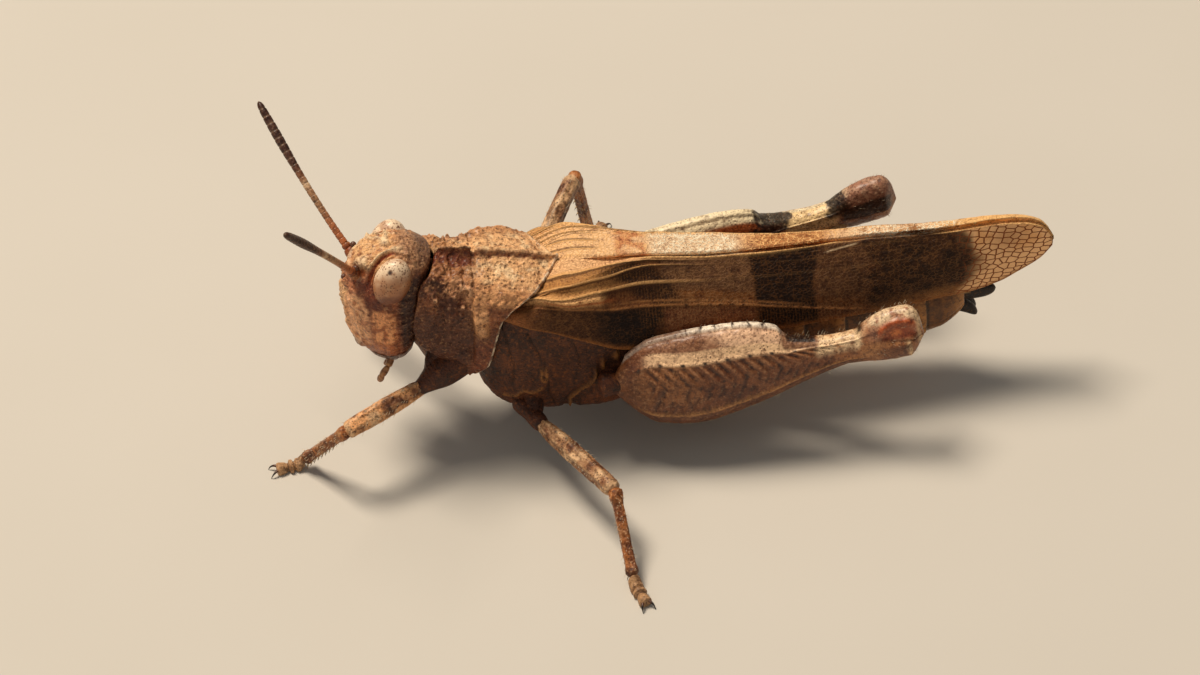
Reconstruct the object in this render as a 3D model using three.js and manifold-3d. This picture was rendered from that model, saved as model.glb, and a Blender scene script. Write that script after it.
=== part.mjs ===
// A band-winged grasshopper at rest, life size, standing with its wings folded.
// Millimetres. +X runs from head to wing tips, +Y to the animal's right and +Z up.
// Every body is closed and faces outwards. The feet stand on small flats at one level.

import * as THREE from 'three';
import { mergeVertices } from 'three/addons/utils/BufferGeometryUtils.js';
import Module from 'manifold-3d';

const wasm = await Module();
wasm.setup();

// ---------------------------------------------------------------- driving dimensions

const CLEARANCE = 0.14;          // gap kept between two bodies that touch in life
const WING_PLATE = 0.5;          // thickness of a folded fore wing
const SHIELD_PLATE = 0.5;        // thickness of the pronotum

// The forebody is tipped nose up about the top of the pronotum's front margin.
const FOREBODY_ORIGIN = new THREE.Vector3(3.9, 0, 10.05);
const FOREBODY_PITCH = THREE.MathUtils.degToRad(13.2);

const WING_TIP = 30.0;           // where the folded wings end
const BODY_JOINTS = [5.1, 12.1, 16.6, 21.2, 26.2];  // thorax and the three lengths of abdomen

const LEFT = -1;
const RIGHT = 1;

const ANKLE_HEIGHT = 0.45;
const FOOT_HEIGHT = 0.18;        // height of a foot's middle line above its sole

// Each leg: where its coxa leaves the body, its hip and its knee, and the ankle and toe over the ground.
const LEG_POINTS = {
  fore_left: [[3.3, -1.0, 4.7], [3.1, -1.9, 4.2], [-0.75, -3.6, 3.45], [-2.6, -2.0], [-3.85, -2.2]],
  fore_right: [[3.3, 1.0, 4.7], [3.1, 1.9, 4.2], [0.4, 5.4, 4.3], [0.3, 6.6], [0.0, 7.9]],
  mid_left: [[7.2, -1.5, 2.8], [7.3, -2.85, 2.3], [10.25, -8.0, 2.67], [10.6, -11.0], [11.0, -12.3]],
  mid_right: [[7.0, 1.5, 2.8], [6.9, 2.95, 2.9], [10.3, 8.5, 5.35], [10.9, 9.4], [11.5, 10.6]],
  hind_left: [[10.5, -1.7, 3.5], [10.6, -3.0, 3.95], [23.0, -3.5, 5.62], [12.9, -1.3], [15.6, -1.3]],
  hind_right: [[10.4, 1.7, 3.8], [10.5, 3.0, 4.4], [22.6, 4.15, 6.45], [12.5, 1.4], [15.2, 1.7]],
};

// ---------------------------------------------------------------- colours and finishes

/** Name, colour, roughness of each finish. Chitin is never metallic. */
const FINISH = {
  tan: finish(0xb98a5a, 0.7),
  ochre: finish(0xc79a63, 0.7),
  umber: finish(0x7d5535, 0.75),
  wing: finish(0xa47c50, 0.6),
  pale: finish(0xd3b488, 0.65),
  feeler: finish(0x5a3626, 0.6),
  eye: finish(0xb79f83, 0.3),
};

function finish(color, roughness) {
  return new THREE.MeshStandardMaterial({ color, roughness, metalness: 0 });
}

// ---------------------------------------------------------------- curves

const { clamp, lerp } = THREE.MathUtils;

/** A smooth curve through [position, value] pairs that never overshoots them. */
function profile(points) {
  const at = points.map(([position]) => position);
  const value = points.map(([, height]) => height);
  const slope = at.slice(1).map((position, i) => (value[i + 1] - value[i]) / (position - at[i]));
  const tangent = at.map((_, i) => {
    const before = slope[Math.max(i - 1, 0)];
    const after = slope[Math.min(i, slope.length - 1)];
    return before * after > 0 ? (2 * before * after) / (before + after) : 0;
  });
  return (position) => {
    const s = clamp(position, at[0], at[at.length - 1]);
    const found = at.findIndex((start, i) => i > 0 && s <= start);
    const i = Math.max(found, 1) - 1;
    const width = at[i + 1] - at[i];
    const t = (s - at[i]) / width;
    const start = value[i] * (1 + 2 * t) * (1 - t) ** 2 + tangent[i] * width * t * (1 - t) ** 2;
    const end = value[i + 1] * t * t * (3 - 2 * t) + tangent[i + 1] * width * t * t * (t - 1);
    return start + end;
  };
}

/** A signed power, which turns a circle's cosine and sine into a squarer or thinner section. */
function squared(value, exponent) {
  return Math.sign(value) * Math.abs(value) ** (2 / exponent);
}

// ---------------------------------------------------------------- closed bodies

/** Sweeps rings of `sides` corners from ringPoint(along, angle), along = 0 to 1, closed at both ends. */
function sweep(sides, rings, ringPoint) {
  const geometry = new THREE.SphereGeometry(1, sides, rings + 1);
  const position = geometry.attributes.position;
  for (let row = 0; row <= rings + 1; row += 1) {
    const along = clamp((row - 1) / (rings - 1), 0, 1);
    const ring = Array.from({ length: sides + 1 }, (_, column) => (
      ringPoint(along, Math.PI - ((column % sides) / sides) * 2 * Math.PI)));
    const centre = new THREE.Vector3();
    ring.slice(0, sides).forEach((corner) => centre.addScaledVector(corner, 1 / sides));
    const isEnd = row === 0 || row === rings + 1;
    ring.forEach((corner, column) => {
      const point = isEnd ? centre : corner;
      position.setXYZ(row * (sides + 1) + column, point.x, point.y, point.z);
    });
  }
  return closed(geometry);
}

/** A bent plate between its outer(u, v) and inner(u, v) faces, u and v = 0 to 1. */
function plate(across, along, outer, inner) {
  const geometry = new THREE.BoxGeometry(1, 1, 1, across, along, 1);
  const position = geometry.attributes.position;
  for (let i = 0; i < position.count; i += 1) {
    const face = position.getZ(i) > 0 ? outer : inner;
    const point = face(position.getX(i) + 0.5, position.getY(i) + 0.5);
    position.setXYZ(i, point.x, point.y, point.z);
  }
  return closed(geometry);
}

/** The unit normal of surface(u, v), by differences kept inside the unit square. */
function surfaceNormal(surface, u, v) {
  const step = 0.02;
  const alongU = surface(Math.min(u + step, 1), v).sub(surface(Math.max(u - step, 0), v));
  const alongV = surface(u, Math.min(v + step, 1)).sub(surface(u, Math.max(v - step, 0)));
  return alongU.cross(alongV).normalize();
}

/** Merges shared corners, and turns the faces round if they point inwards. */
function closed(geometry) {
  geometry.deleteAttribute('normal');
  geometry.deleteAttribute('uv');
  const merged = mergeVertices(geometry, 1e-4);
  if (signedVolume(merged) < 0) merged.index.array.reverse();
  merged.computeVertexNormals();
  return merged;
}

function signedVolume(geometry) {
  const { position } = geometry.attributes;
  const corner = [0, 1, 2].map(() => new THREE.Vector3());
  let sum = 0;
  for (let i = 0; i < geometry.index.count; i += 3) {
    corner.forEach((point, k) => point.fromBufferAttribute(position, geometry.index.getX(i + k)));
    sum += corner[0].dot(corner[1].clone().cross(corner[2])) / 6;
  }
  return sum;
}

/** The geometry blown up by `gap` along its corner normals, to cut room for it in a neighbour. */
function swollen(geometry, gap) {
  const copy = geometry.clone();
  const { position, normal } = copy.attributes;
  for (let i = 0; i < position.count; i += 1) {
    position.setXYZ(i, position.getX(i) + normal.getX(i) * gap, position.getY(i) + normal.getY(i) * gap,
      position.getZ(i) + normal.getZ(i) * gap);
  }
  return copy;
}

function toSolid(geometry, matrix) {
  const { position } = geometry.attributes;
  const vertProperties = new Float32Array(position.count * 3);
  const point = new THREE.Vector3();
  for (let i = 0; i < position.count; i += 1) {
    point.fromBufferAttribute(position, i).applyMatrix4(matrix).toArray(vertProperties, i * 3);
  }
  const triVerts = new Uint32Array(geometry.index.array);
  return new wasm.Manifold(new wasm.Mesh({ numProp: 3, vertProperties, triVerts }));
}

function fromSolid(solid) {
  const { vertProperties, triVerts } = solid.getMesh();
  const geometry = new THREE.BufferGeometry();
  geometry.setAttribute('position', new THREE.BufferAttribute(new Float32Array(vertProperties), 3));
  geometry.setIndex(new THREE.BufferAttribute(new Uint32Array(triVerts), 1));
  geometry.computeVertexNormals();
  return geometry;
}

/** Cuts room for the neighbours out of a mesh and keeps its largest piece. */
function carve(target, ...neighbours) {
  const intoTarget = target.matrixWorld.clone().invert();
  const whole = neighbours.reduce((solid, neighbour) => {
    const matrix = intoTarget.clone().multiply(neighbour.matrixWorld);
    return solid.subtract(toSolid(swollen(neighbour.geometry, CLEARANCE), matrix));
  }, toSolid(target.geometry, new THREE.Matrix4()));
  const pieces = whole.simplify(0.02).decompose();
  pieces.sort((a, b) => b.volume() - a.volume());
  target.geometry = fromSolid(pieces[0]);
}

// ---------------------------------------------------------------- the scene graph

const grasshopper = new THREE.Group();
const forebody = new THREE.Group();
forebody.position.copy(FOREBODY_ORIGIN);
forebody.rotation.y = FOREBODY_PITCH;
grasshopper.add(forebody);

const nodes = {};

function addNode(name, geometry, material, parent = grasshopper) {
  const mesh = new THREE.Mesh(geometry, material);
  mesh.name = name;
  nodes[name] = mesh;
  parent.add(mesh);
  return mesh;
}

// ---------------------------------------------------------------- head

// Side view of the head against height: its front line, its back line and half its width.
const HEAD_FRONT = profile([
  [4.6, 1.3], [4.9, 0.75], [5.5, 0.32], [6.1, 0.08], [7.6, -0.2], [8.7, -0.12], [9.5, 0.05], [10.2, 0.35],
  [10.6, 0.62], [10.85, 1.3], [10.95, 2.0],
]);
const HEAD_BACK = profile([
  [4.6, 2.0], [5.4, 2.35], [6.4, 2.5], [7.2, 2.75], [8.3, 3.1], [9.4, 3.5], [10.1, 3.6], [10.5, 3.25],
  [10.8, 2.85], [10.95, 2.4],
]);
const HEAD_HALF_WIDTH = profile([
  [4.6, 0.75], [5.2, 1.35], [6.0, 1.85], [6.9, 2.05], [8.0, 1.98], [9.0, 1.8], [9.8, 1.55], [10.3, 1.3],
  [10.7, 0.85], [10.95, 0.2],
]);
const HEAD_TOP = 10.95;
const MOUTH_CUT = 5.75;          // height where the clypeus meets the mouthparts
const MOUTH_BOTTOM = 4.6;
const FACE_TAPER = 0.3;          // how much narrower the face is than the back of the head

function headPoint(height, angle) {
  const front = HEAD_FRONT(height);
  const back = HEAD_BACK(height);
  const towardsBack = squared(Math.cos(angle), 2.6);
  const x = (front + back) / 2 + towardsBack * (back - front) / 2;
  const taper = 1 - FACE_TAPER * Math.max(-towardsBack, 0);
  return new THREE.Vector3(x, squared(Math.sin(angle), 2.3) * HEAD_HALF_WIDTH(height) * taper, height);
}

function headLength(bottom, top, rings) {
  const eased = (along) => lerp(bottom, top, Math.sin(along * Math.PI / 2));
  return sweep(18, rings, (along, angle) => headPoint(eased(along), angle));
}

const EYE_CENTRE = [1.82, 1.2, 9.78];
const EYE_RADII = [0.78, 0.69, 1.08];
const PALP_POINTS = [[1.55, 0.85, 5.0], [1.25, 1.25, 4.6], [1.0, 1.2, 4.0]];
const PALP_HALF_WIDTH = 0.26;

function buildHead() {
  addNode('head', headLength(MOUTH_CUT, HEAD_TOP, 11), FINISH.ochre);
  addNode('mouthparts', sweep(18, 4, (along, angle) => (
    headPoint(lerp(MOUTH_CUT - CLEARANCE, MOUTH_BOTTOM, along), -angle))), FINISH.pale);
  sides(({ side, word }) => {
    const eye = addNode(`eye_${word}`, closed(new THREE.SphereGeometry(1, 12, 8)), FINISH.eye);
    eye.geometry.scale(...EYE_RADII);
    eye.position.set(EYE_CENTRE[0], EYE_CENTRE[1] * side, EYE_CENTRE[2]);
    const palp = PALP_POINTS.map(([x, y, z]) => new THREE.Vector3(x, y * side, z));
    addNode(`palp_${word}`, tube(palp, 6, 5, () => PALP_HALF_WIDTH), FINISH.pale);
  });
}

/** Calls the builder once for the left side and once for the right. */
function sides(build) {
  build({ side: LEFT, word: 'left' });
  build({ side: RIGHT, word: 'right' });
}

// ---------------------------------------------------------------- feelers

/** A round-ended tube bent through three points, with radius(along) for its half width. */
function tube([start, bend, end], corners, rings, radius) {
  const curve = new THREE.QuadraticBezierCurve3(start, bend, end);
  return sweep(corners, rings, (along, angle) => {
    const tangent = curve.getTangent(along);
    const sideways = new THREE.Vector3(0, 1, 0).cross(tangent).normalize();
    const upwards = tangent.clone().cross(sideways);
    const ends = Math.sqrt(Math.max(1 - Math.abs(2 * along - 1) ** 12, 0.2));
    return curve.getPoint(along)
      .addScaledVector(sideways, Math.cos(angle) * radius(along) * ends)
      .addScaledVector(upwards, Math.sin(angle) * radius(along) * ends);
  });
}

// Root, bend and tip of each feeler. The left one points up and the right one out to the side.
const FEELERS = {
  left: [[0.42, -0.55, 9.65], [-0.6, -2.1, 12.4], [-2.4, -3.95, 15.75]],
  right: [[0.42, 0.55, 9.65], [-1.1, 2.5, 11.3], [-2.95, 6.2, 13.95]],
};
const SCAPE_SHARE = 0.13;        // share of a feeler taken by its thick base
const SCAPE_HALF = 0.31;
const FLAGELLUM_HALF = profile([[0, 0.22], [0.5, 0.25], [0.8, 0.29], [1, 0.21]]);

function buildFeelers() {
  Object.entries(FEELERS).forEach(([word, points]) => {
    const curve = new THREE.QuadraticBezierCurve3(...points.map((point) => new THREE.Vector3(...point)));
    const length = (from, to) => {
      const middle = curve.getPoint((from + to) / 2);
      const bend = middle.clone().multiplyScalar(2)
        .addScaledVector(curve.getPoint(from), -0.5).addScaledVector(curve.getPoint(to), -0.5);
      return [curve.getPoint(from), bend, curve.getPoint(to)];
    };
    const base = tube(length(0, SCAPE_SHARE), 7, 5, () => SCAPE_HALF);
    const flagellum = tube(length(SCAPE_SHARE + 0.03, 1), 7, 12, FLAGELLUM_HALF);
    addNode(`antenna_${word}_base`, base, FINISH.feeler);
    addNode(`antenna_${word}_flagellum`, flagellum, FINISH.feeler);
  });
}

// ---------------------------------------------------------------- pronotum and prothorax

// In the forebody's own frame. `reach` runs from 0 at the keel to 1 at the lower edge of a side lobe.
const SHIELD_FRONT = profile([[0, -0.05], [0.3, -0.35], [0.5, -0.5], [0.8, -0.45], [1, -0.1]]);
const SHIELD_BACK = profile([
  [0, 5.2], [0.14, 4.62], [0.3, 3.9], [0.42, 3.15], [0.55, 2.86], [0.85, 2.78], [1, 2.1],
]);
const SHIELD_SPREAD = profile([
  [0, 0], [0.12, 0.37], [0.28, 0.8], [0.38, 0.96], [0.6, 1.03], [0.8, 1.02], [1, 0.92],
]);
const SHIELD_FALL = profile([
  [0, 0], [0.12, 0.035], [0.28, 0.08], [0.42, 0.2], [0.6, 0.44], [0.8, 0.73], [1, 1],
]);
const DISC_HALF_WIDTH = profile([[-0.5, 1.6], [1.3, 1.78], [1.8, 2.08], [3, 2.42], [5.2, 2.42]]);
const LOBE_HALF_WIDTH = profile([[-0.5, 1.95], [1.2, 2.12], [3, 2.42]]);
const SHIELD_DEPTH = profile([[-0.5, 3.9], [1.15, 4.8], [2.4, 5.35], [5.2, 5.35]]);
const KEEL_HEIGHT = profile([[0, 0.16], [1.4, 0.3], [1.9, 0.14], [5.2, 0.1]]);
const KEEL_WIDTH = 0.22;

function shieldPoint(u, v) {
  const across = 2 * v - 1;
  const reach = Math.abs(across) ** 1.15;
  const x = lerp(SHIELD_FRONT(reach), SHIELD_BACK(reach), u);
  const downLobe = THREE.MathUtils.smoothstep(reach, 0.35, 0.6);
  const halfWidth = lerp(DISC_HALF_WIDTH(x), LOBE_HALF_WIDTH(x), downLobe);
  const y = Math.sign(across) * SHIELD_SPREAD(reach) * halfWidth;
  const keel = KEEL_HEIGHT(x) * Math.exp(-((y / KEEL_WIDTH) ** 2));
  return new THREE.Vector3(x, y, keel - SHIELD_FALL(reach) * SHIELD_DEPTH(x));
}

const PROTHORAX_SPAN = [-1.1, 2.6];
const PROTHORAX_SQUARENESS = 3;
const PROTHORAX = {
  top: profile([[-1.1, -1.2], [0.2, -0.75], [2.6, -0.75]]),
  bottom: profile([[-1.1, -3.6], [-0.2, -5.0], [0.6, -5.9], [2.6, -6.25]]),
  halfWidth: profile([[-1.1, 1.1], [-0.3, 1.15], [0.6, 1.3], [1.6, 1.5], [2.6, 1.75]]),
};

function buildForebody() {
  const inner = (u, v) => shieldPoint(u, v).addScaledVector(surfaceNormal(shieldPoint, u, v), -SHIELD_PLATE);
  addNode('pronotum', plate(8, 18, shieldPoint, inner), FINISH.tan, forebody);
  const body = sweep(12, 5, (along, angle) => (
    boxyRing(PROTHORAX, lerp(...PROTHORAX_SPAN, along), angle, PROTHORAX_SQUARENESS)));
  addNode('prothorax', body, FINISH.umber, forebody);
}

/** A ring of a body with top, bottom and halfWidth curves, at x, squarer for a larger exponent. */
function boxyRing(shape, x, angle, exponent) {
  const top = shape.top(x);
  const bottom = shape.bottom(x);
  const y = squared(Math.cos(angle), exponent) * shape.halfWidth(x);
  const z = (top + bottom) / 2 + squared(Math.sin(angle), exponent) * (top - bottom) / 2;
  return new THREE.Vector3(x, y, z);
}

// ---------------------------------------------------------------- thorax and abdomen

const TRUNK = {
  top: profile([[5.1, 8.1], [7.2, 8.4], [12.1, 7.6], [16, 7.2], [20, 6.7], [25, 5.85], [26.2, 5.4]]),
  bottom: profile([
    [5.1, 2.75], [6.4, 1.95], [8.0, 1.6], [10.2, 1.5], [12.1, 1.75], [20, 2.1], [24.9, 2.75], [26.2, 3.6],
  ]),
  halfWidth: profile([
    [5.1, 1.8], [6.8, 2.45], [10, 2.6], [12.1, 2.25], [16.6, 2.1], [21, 1.8], [25, 1.35], [26.2, 0.85],
  ]),
};
const THORAX_SQUARENESS = 4;
const ABDOMEN_SQUARENESS = 2.2;
const TRUNK_NAMES = ['pterothorax', 'abdomen_front', 'abdomen_middle', 'abdomen_rear'];

function buildTrunk() {
  TRUNK_NAMES.forEach((name, i) => {
    const from = BODY_JOINTS[i] + (i > 0 ? CLEARANCE : 0);
    const to = BODY_JOINTS[i + 1];
    const squareness = i === 0 ? THORAX_SQUARENESS : ABDOMEN_SQUARENESS;
    const length = sweep(12, 5, (along, angle) => boxyRing(TRUNK, lerp(from, to, along), angle, squareness));
    addNode(name, length, i === 0 ? FINISH.umber : FINISH.tan);
  });
}

// The egg-laying valves: two tapered pairs that part towards their pointed tips.
const VALVES = {
  valve_upper: { root: [26.35, 0, 4.75], tip: [27.45, 0, 4.75], height: 0.34 },
  valve_lower: { root: [26.35, 0, 4.0], tip: [27.3, 0, 3.85], height: 0.32 },
};
const VALVE_HALF_WIDTH = 0.45;

function buildValves() {
  Object.entries(VALVES).forEach(([name, { root, tip, height }]) => {
    addNode(name, sweep(8, 5, (along, angle) => {
      const taper = 1 - 0.6 * along ** 2;
      const middle = new THREE.Vector3(...root).lerp(new THREE.Vector3(...tip), along);
      const section = new THREE.Vector3(0, Math.cos(angle) * VALVE_HALF_WIDTH, Math.sin(angle) * height);
      return middle.addScaledVector(section, taper);
    }), FINISH.umber);
  });
}

// ---------------------------------------------------------------- wings

// Against X: the fold between the top and the side of a closed fore wing, and its lower edge.
const FOLD_HEIGHT = profile([
  [6.2, 8.3], [8.2, 8.8], [10.3, 9.3], [11.5, 9.22], [12.8, 9.03], [15.2, 8.7], [18.3, 8.44], [22, 8.36],
  [25.4, 8.3], [27.4, 8.4], [28.8, 8.22], [29.4, 7.98], [29.8, 7.55], [29.97, 7.15],
]);
const FOLD_SPREAD = profile([
  [6.2, 2.15], [8, 1.98], [9.3, 1.9], [10.3, 1.6], [12.8, 0.86], [15.2, 0.8], [18.4, 0.58], [22, 0.46],
  [26, 0.42], [29.97, 0.28],
]);
const EDGE_HEIGHT = profile([
  [6.2, 7.55], [7.9, 7.1], [9.7, 6.2], [11.2, 5.5], [14, 5.15], [20, 5.15], [25, 5.2], [26.6, 5.05],
  [27.6, 5.2], [28.4, 5.55], [29.4, 6.1], [29.97, 6.75],
]);
const EDGE_SPREAD = profile([
  [6.2, 2.3], [8, 2.6], [11.2, 2.6], [14, 2.4], [20, 1.85], [25, 1.25], [27, 0.75], [29.97, 0.3],
]);
const WING_ROOT = profile([[0, 5.9], [0.4, 6.3], [0.7, 7.2], [1, 8.4]]);  // front end of the plate
const SIDE_SHARE = 0.7;          // share of the plate's width below the fold
const SIDE_BULGE = 0.16;         // how far the side bows out
const APEX_OF_SHIELD = 8.6;      // where the two fore wings meet behind the pronotum
const FULL_OVERLAP = 13;         // from here on the upper wing covers the whole back
const RIM_OF_LOWER_WING = 0.35;  // the strip of the lower wing left bare beside its fold
const CROWN = 0.1;               // rise of a wing's top towards the middle line
const BLUNT_END = 0.03;          // keeps the plate's rear rim open

// The hind wings are two folded fans under the fore wings.
const FAN = { span: [13, 28.3], below: 1.55, out: 0.42, halfWidth: 0.3, halfHeight: 0.42, taper: 0.35 };

/** How far past the middle line the upper wing's inner edge lies, 0 at the pronotum. */
function overlap(x) {
  const crossed = clamp((x - APEX_OF_SHIELD) / (FULL_OVERLAP - APEX_OF_SHIELD), 0, 1);
  return crossed * Math.max(FOLD_SPREAD(x) - RIM_OF_LOWER_WING, 0);
}

/** A point of a closed fore wing, on its outer face where `inset` is 0 and its inner face where it is 1. */
function wingPoint(side, inset, u, v) {
  const x = lerp(WING_ROOT(v), WING_TIP - BLUNT_END, 1 - (1 - u) ** 1.5);
  const fold = FOLD_SPREAD(x);
  const inward = side === RIGHT ? overlap(x) : 0;
  const depth = inset * Math.min(WING_PLATE, fold + inward - 0.08);
  if (v <= SIDE_SHARE) {
    const rise = v / SIDE_SHARE;
    const bulge = SIDE_BULGE * Math.sin(Math.PI * rise) * Math.min((WING_TIP - x) / 3, 1);
    const y = lerp(EDGE_SPREAD(x), fold, rise ** 1.2) + bulge - depth;
    return new THREE.Vector3(x, side * y, lerp(EDGE_HEIGHT(x), FOLD_HEIGHT(x) - depth, rise));
  }
  const past = (v - SIDE_SHARE) / (1 - SIDE_SHARE);
  const crown = CROWN * Math.sin(Math.PI * past * 0.5);
  return new THREE.Vector3(x, side * lerp(fold - depth, -inward, past), FOLD_HEIGHT(x) + crown - depth);
}

function buildWings() {
  sides(({ side, word }) => {
    const face = (inset) => (u, v) => wingPoint(side, inset, u, v);
    addNode(`tegmen_${word}`, plate(18, 8, face(0), face(1)), FINISH.wing);
    addNode(`hindwing_${word}`, sweep(8, 7, (along, angle) => {
      const x = lerp(...FAN.span, along);
      const taper = 1 - FAN.taper * along ** 3;
      const y = side * (FAN.out + Math.cos(angle) * FAN.halfWidth * taper);
      const z = FOLD_HEIGHT(x) - FAN.below + Math.sin(angle) * FAN.halfHeight * taper;
      return new THREE.Vector3(x, y, z);
    }), FINISH.pale);
  });
}

// ---------------------------------------------------------------- legs

/** Places a mesh modelled along its own +X to run from one point to another, its top leaning by `lean`. */
function aim(mesh, from, to, lean = 0) {
  const forwards = to.clone().sub(from).normalize();
  const sideways = new THREE.Vector3(0, 0, 1).cross(forwards).normalize().applyAxisAngle(forwards, -lean);
  const upwards = forwards.clone().cross(sideways);
  mesh.quaternion.setFromRotationMatrix(new THREE.Matrix4().makeBasis(forwards, sideways, upwards));
  mesh.position.copy(from);
  return mesh;
}

/** A straight leg length along +X: `above` and `below` give its outline, `half` its half thickness. */
function limb(corners, rings, length, { above, below, half }) {
  return sweep(corners, rings, (along, angle) => {
    const rise = Math.sin(angle);
    const height = rise > 0 ? above(along) : below(along);
    return new THREE.Vector3(along * length, squared(Math.cos(angle), 2.4) * half(along), rise * height);
  });
}

const even = (points) => {
  const half = profile(points);
  return { above: half, below: half, half };
};

const WALKING_FEMUR = {
  above: profile([[0, 0.28], [0.15, 0.42], [0.5, 0.5], [0.85, 0.45], [0.97, 0.42], [1, 0.3]]),
  below: profile([[0, 0.28], [0.2, 0.4], [0.6, 0.42], [0.85, 0.36], [1, 0.28]]),
  half: profile([[0, 0.27], [0.2, 0.38], [0.6, 0.38], [0.9, 0.36], [1, 0.27]]),
};
const TIBIA = even([[0, 0.27], [0.08, 0.34], [0.3, 0.27], [0.85, 0.27], [0.97, 0.33], [1, 0.26]]);
const COXA = even([[0, 0.5], [0.6, 0.58], [0.9, 0.5], [1, 0.34]]);

// The jumping femur, in millimetres from its hip: a deep club, a step, a slim neck and the knee.
const JUMPER_ABOVE = profile([
  [0, 0.35], [0.8, 1.2], [2.05, 1.76], [3.8, 1.82], [6.3, 1.4], [7.5, 0.95], [8.1, 0.55], [9.3, 0.38],
  [10.6, 0.42], [11.6, 0.9], [12.5, 1.05], [13.1, 0.66], [13.35, 0.3],
]);
const JUMPER_BELOW = profile([
  [0, 0.45], [0.45, 1.0], [1.7, 2.12], [3.4, 2.42], [6.1, 1.94], [8.4, 1.25], [10.2, 0.88], [11.4, 0.98],
  [12.7, 0.92], [13.35, 0.3],
]);
const JUMPER_HALF = profile([
  [0, 0.35], [1, 0.66], [3.5, 0.85], [7, 0.7], [10, 0.5], [11.8, 0.64], [12.8, 0.64], [13.35, 0.35],
]);
const JUMPER_LEAN = { hind_left: 0.3, hind_right: -0.04 };  // radians; both tops lean towards the wings
const JUMPER_STATIONS = [
  0, 0.4, 1, 1.8, 3, 4.4, 6, 7.3, 8, 9, 10.5, 11.4, 12.2, 12.9, 13.35,
];

function jumperFemur() {
  const last = JUMPER_STATIONS.length - 1;
  return sweep(10, last + 1, (along, angle) => {
    const s = JUMPER_STATIONS[Math.round(along * last)];
    const rise = Math.sin(angle);
    const height = rise > 0 ? JUMPER_ABOVE(s) : JUMPER_BELOW(s);
    return new THREE.Vector3(s, squared(Math.cos(angle), 2.6) * JUMPER_HALF(s), rise * height);
  });
}

const TARSUS_WIDTH = profile([
  [0, 0.26], [0.15, 0.33], [0.35, 0.28], [0.5, 0.34], [0.62, 0.27], [0.9, 0.29], [1, 0.22],
]);

/** A foot from ankle to toe. It drops behind the ankle, and is cut off level at the ground. */
function tarsus(ankle, toe) {
  const heading = toe.clone().sub(ankle).setZ(0).normalize();
  const across = new THREE.Vector3(-heading.y, heading.x, 0);
  return sweep(8, 7, (along, angle) => {
    const width = TARSUS_WIDTH(along);
    const point = ankle.clone().lerp(toe, along).addScaledVector(across, Math.cos(angle) * width);
    const middle = lerp(ankle.z, toe.z, THREE.MathUtils.smoothstep(along, 0, 0.25));
    point.z = Math.max(middle + Math.sin(angle) * width, 0);
    return point;
  });
}

function buildLegs() {
  Object.entries(LEG_POINTS).forEach(([name, points]) => {
    const [root, hip, knee, ankle, toe] = points.map((point) => new THREE.Vector3(...point, 0));
    ankle.setZ(ANKLE_HEIGHT);
    toe.setZ(FOOT_HEIGHT);
    const isJumper = name.startsWith('hind');
    const skin = isJumper ? FINISH.ochre : FINISH.tan;
    const leg = new THREE.Group();
    grasshopper.add(leg);

    const coxa = addNode(`${name}_coxa`, limb(8, 5, root.distanceTo(hip), COXA), FINISH.umber, leg);
    aim(coxa, root, hip);

    const femurStart = hip.clone().lerp(knee, CLEARANCE / hip.distanceTo(knee));
    const walkingFemur = () => limb(8, 9, femurStart.distanceTo(knee), WALKING_FEMUR);
    const femur = addNode(`${name}_femur`, isJumper ? jumperFemur() : walkingFemur(), skin, leg);
    aim(femur, femurStart, knee, JUMPER_LEAN[name]);

    const tibiaStart = knee.clone().lerp(ankle, isJumper ? -0.025 : 0.02);
    const tibiaEnd = ankle.clone().lerp(tibiaStart, 0.02);
    const tibia = limb(8, isJumper ? 9 : 7, tibiaStart.distanceTo(tibiaEnd), TIBIA);
    aim(addNode(`${name}_tibia`, tibia, skin, leg), tibiaStart, tibiaEnd);

    addNode(`${name}_tarsus`, tarsus(ankle, toe), skin, leg);
  });
}

// ---------------------------------------------------------------- assembly

buildHead();
buildFeelers();
buildForebody();
buildTrunk();
buildValves();
buildWings();
buildLegs();
grasshopper.updateMatrixWorld(true);

/** Cuts each body back from the neighbours that lie over it or reach into it. */
function makeRoom() {
  const { head, mouthparts, pronotum, prothorax, pterothorax } = nodes;
  sides(({ word }) => {
    carve(head, nodes[`eye_${word}`], nodes[`antenna_${word}_base`]);
    carve(nodes[`palp_${word}`], mouthparts);
  });
  carve(head, pronotum);
  carve(mouthparts, nodes.fore_left_coxa);
  carve(prothorax, head, mouthparts, pronotum);
  carve(nodes.tegmen_left, nodes.tegmen_right, pronotum);
  carve(nodes.tegmen_right, pronotum);
  const wings = [nodes.tegmen_left, nodes.tegmen_right];
  sides(({ word }) => carve(nodes[`hindwing_${word}`], ...wings));
  carve(nodes.hindwing_right, nodes.hindwing_left);
  carve(pterothorax, pronotum, prothorax, ...wings, nodes.hindwing_left, nodes.hindwing_right);
  TRUNK_NAMES.slice(1).forEach((name) => {
    carve(nodes[name], ...wings, nodes.hindwing_left, nodes.hindwing_right);
  });
  Object.keys(LEG_POINTS).forEach((name) => {
    const isFore = name.startsWith('fore');
    const trunk = isFore ? [prothorax, pterothorax, pronotum] : [pterothorax, nodes.abdomen_front];
    carve(nodes[`${name}_coxa`], ...trunk);
    carve(nodes[`${name}_tibia`], nodes[`${name}_tarsus`]);
    carve(nodes[`${name}_femur`], nodes[`${name}_coxa`], nodes[`${name}_tibia`], ...wings, ...trunk);
  });
}

/** Moves the whole animal so that the middle of its footprint is the origin. */
function centreOnFootprint() {
  const box = new THREE.Box3().setFromObject(grasshopper, true);
  const middle = box.getCenter(new THREE.Vector3());
  grasshopper.position.set(-middle.x, -middle.y, -box.min.z);
}

makeRoom();
centreOnFootprint();

export default grasshopper;
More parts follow.
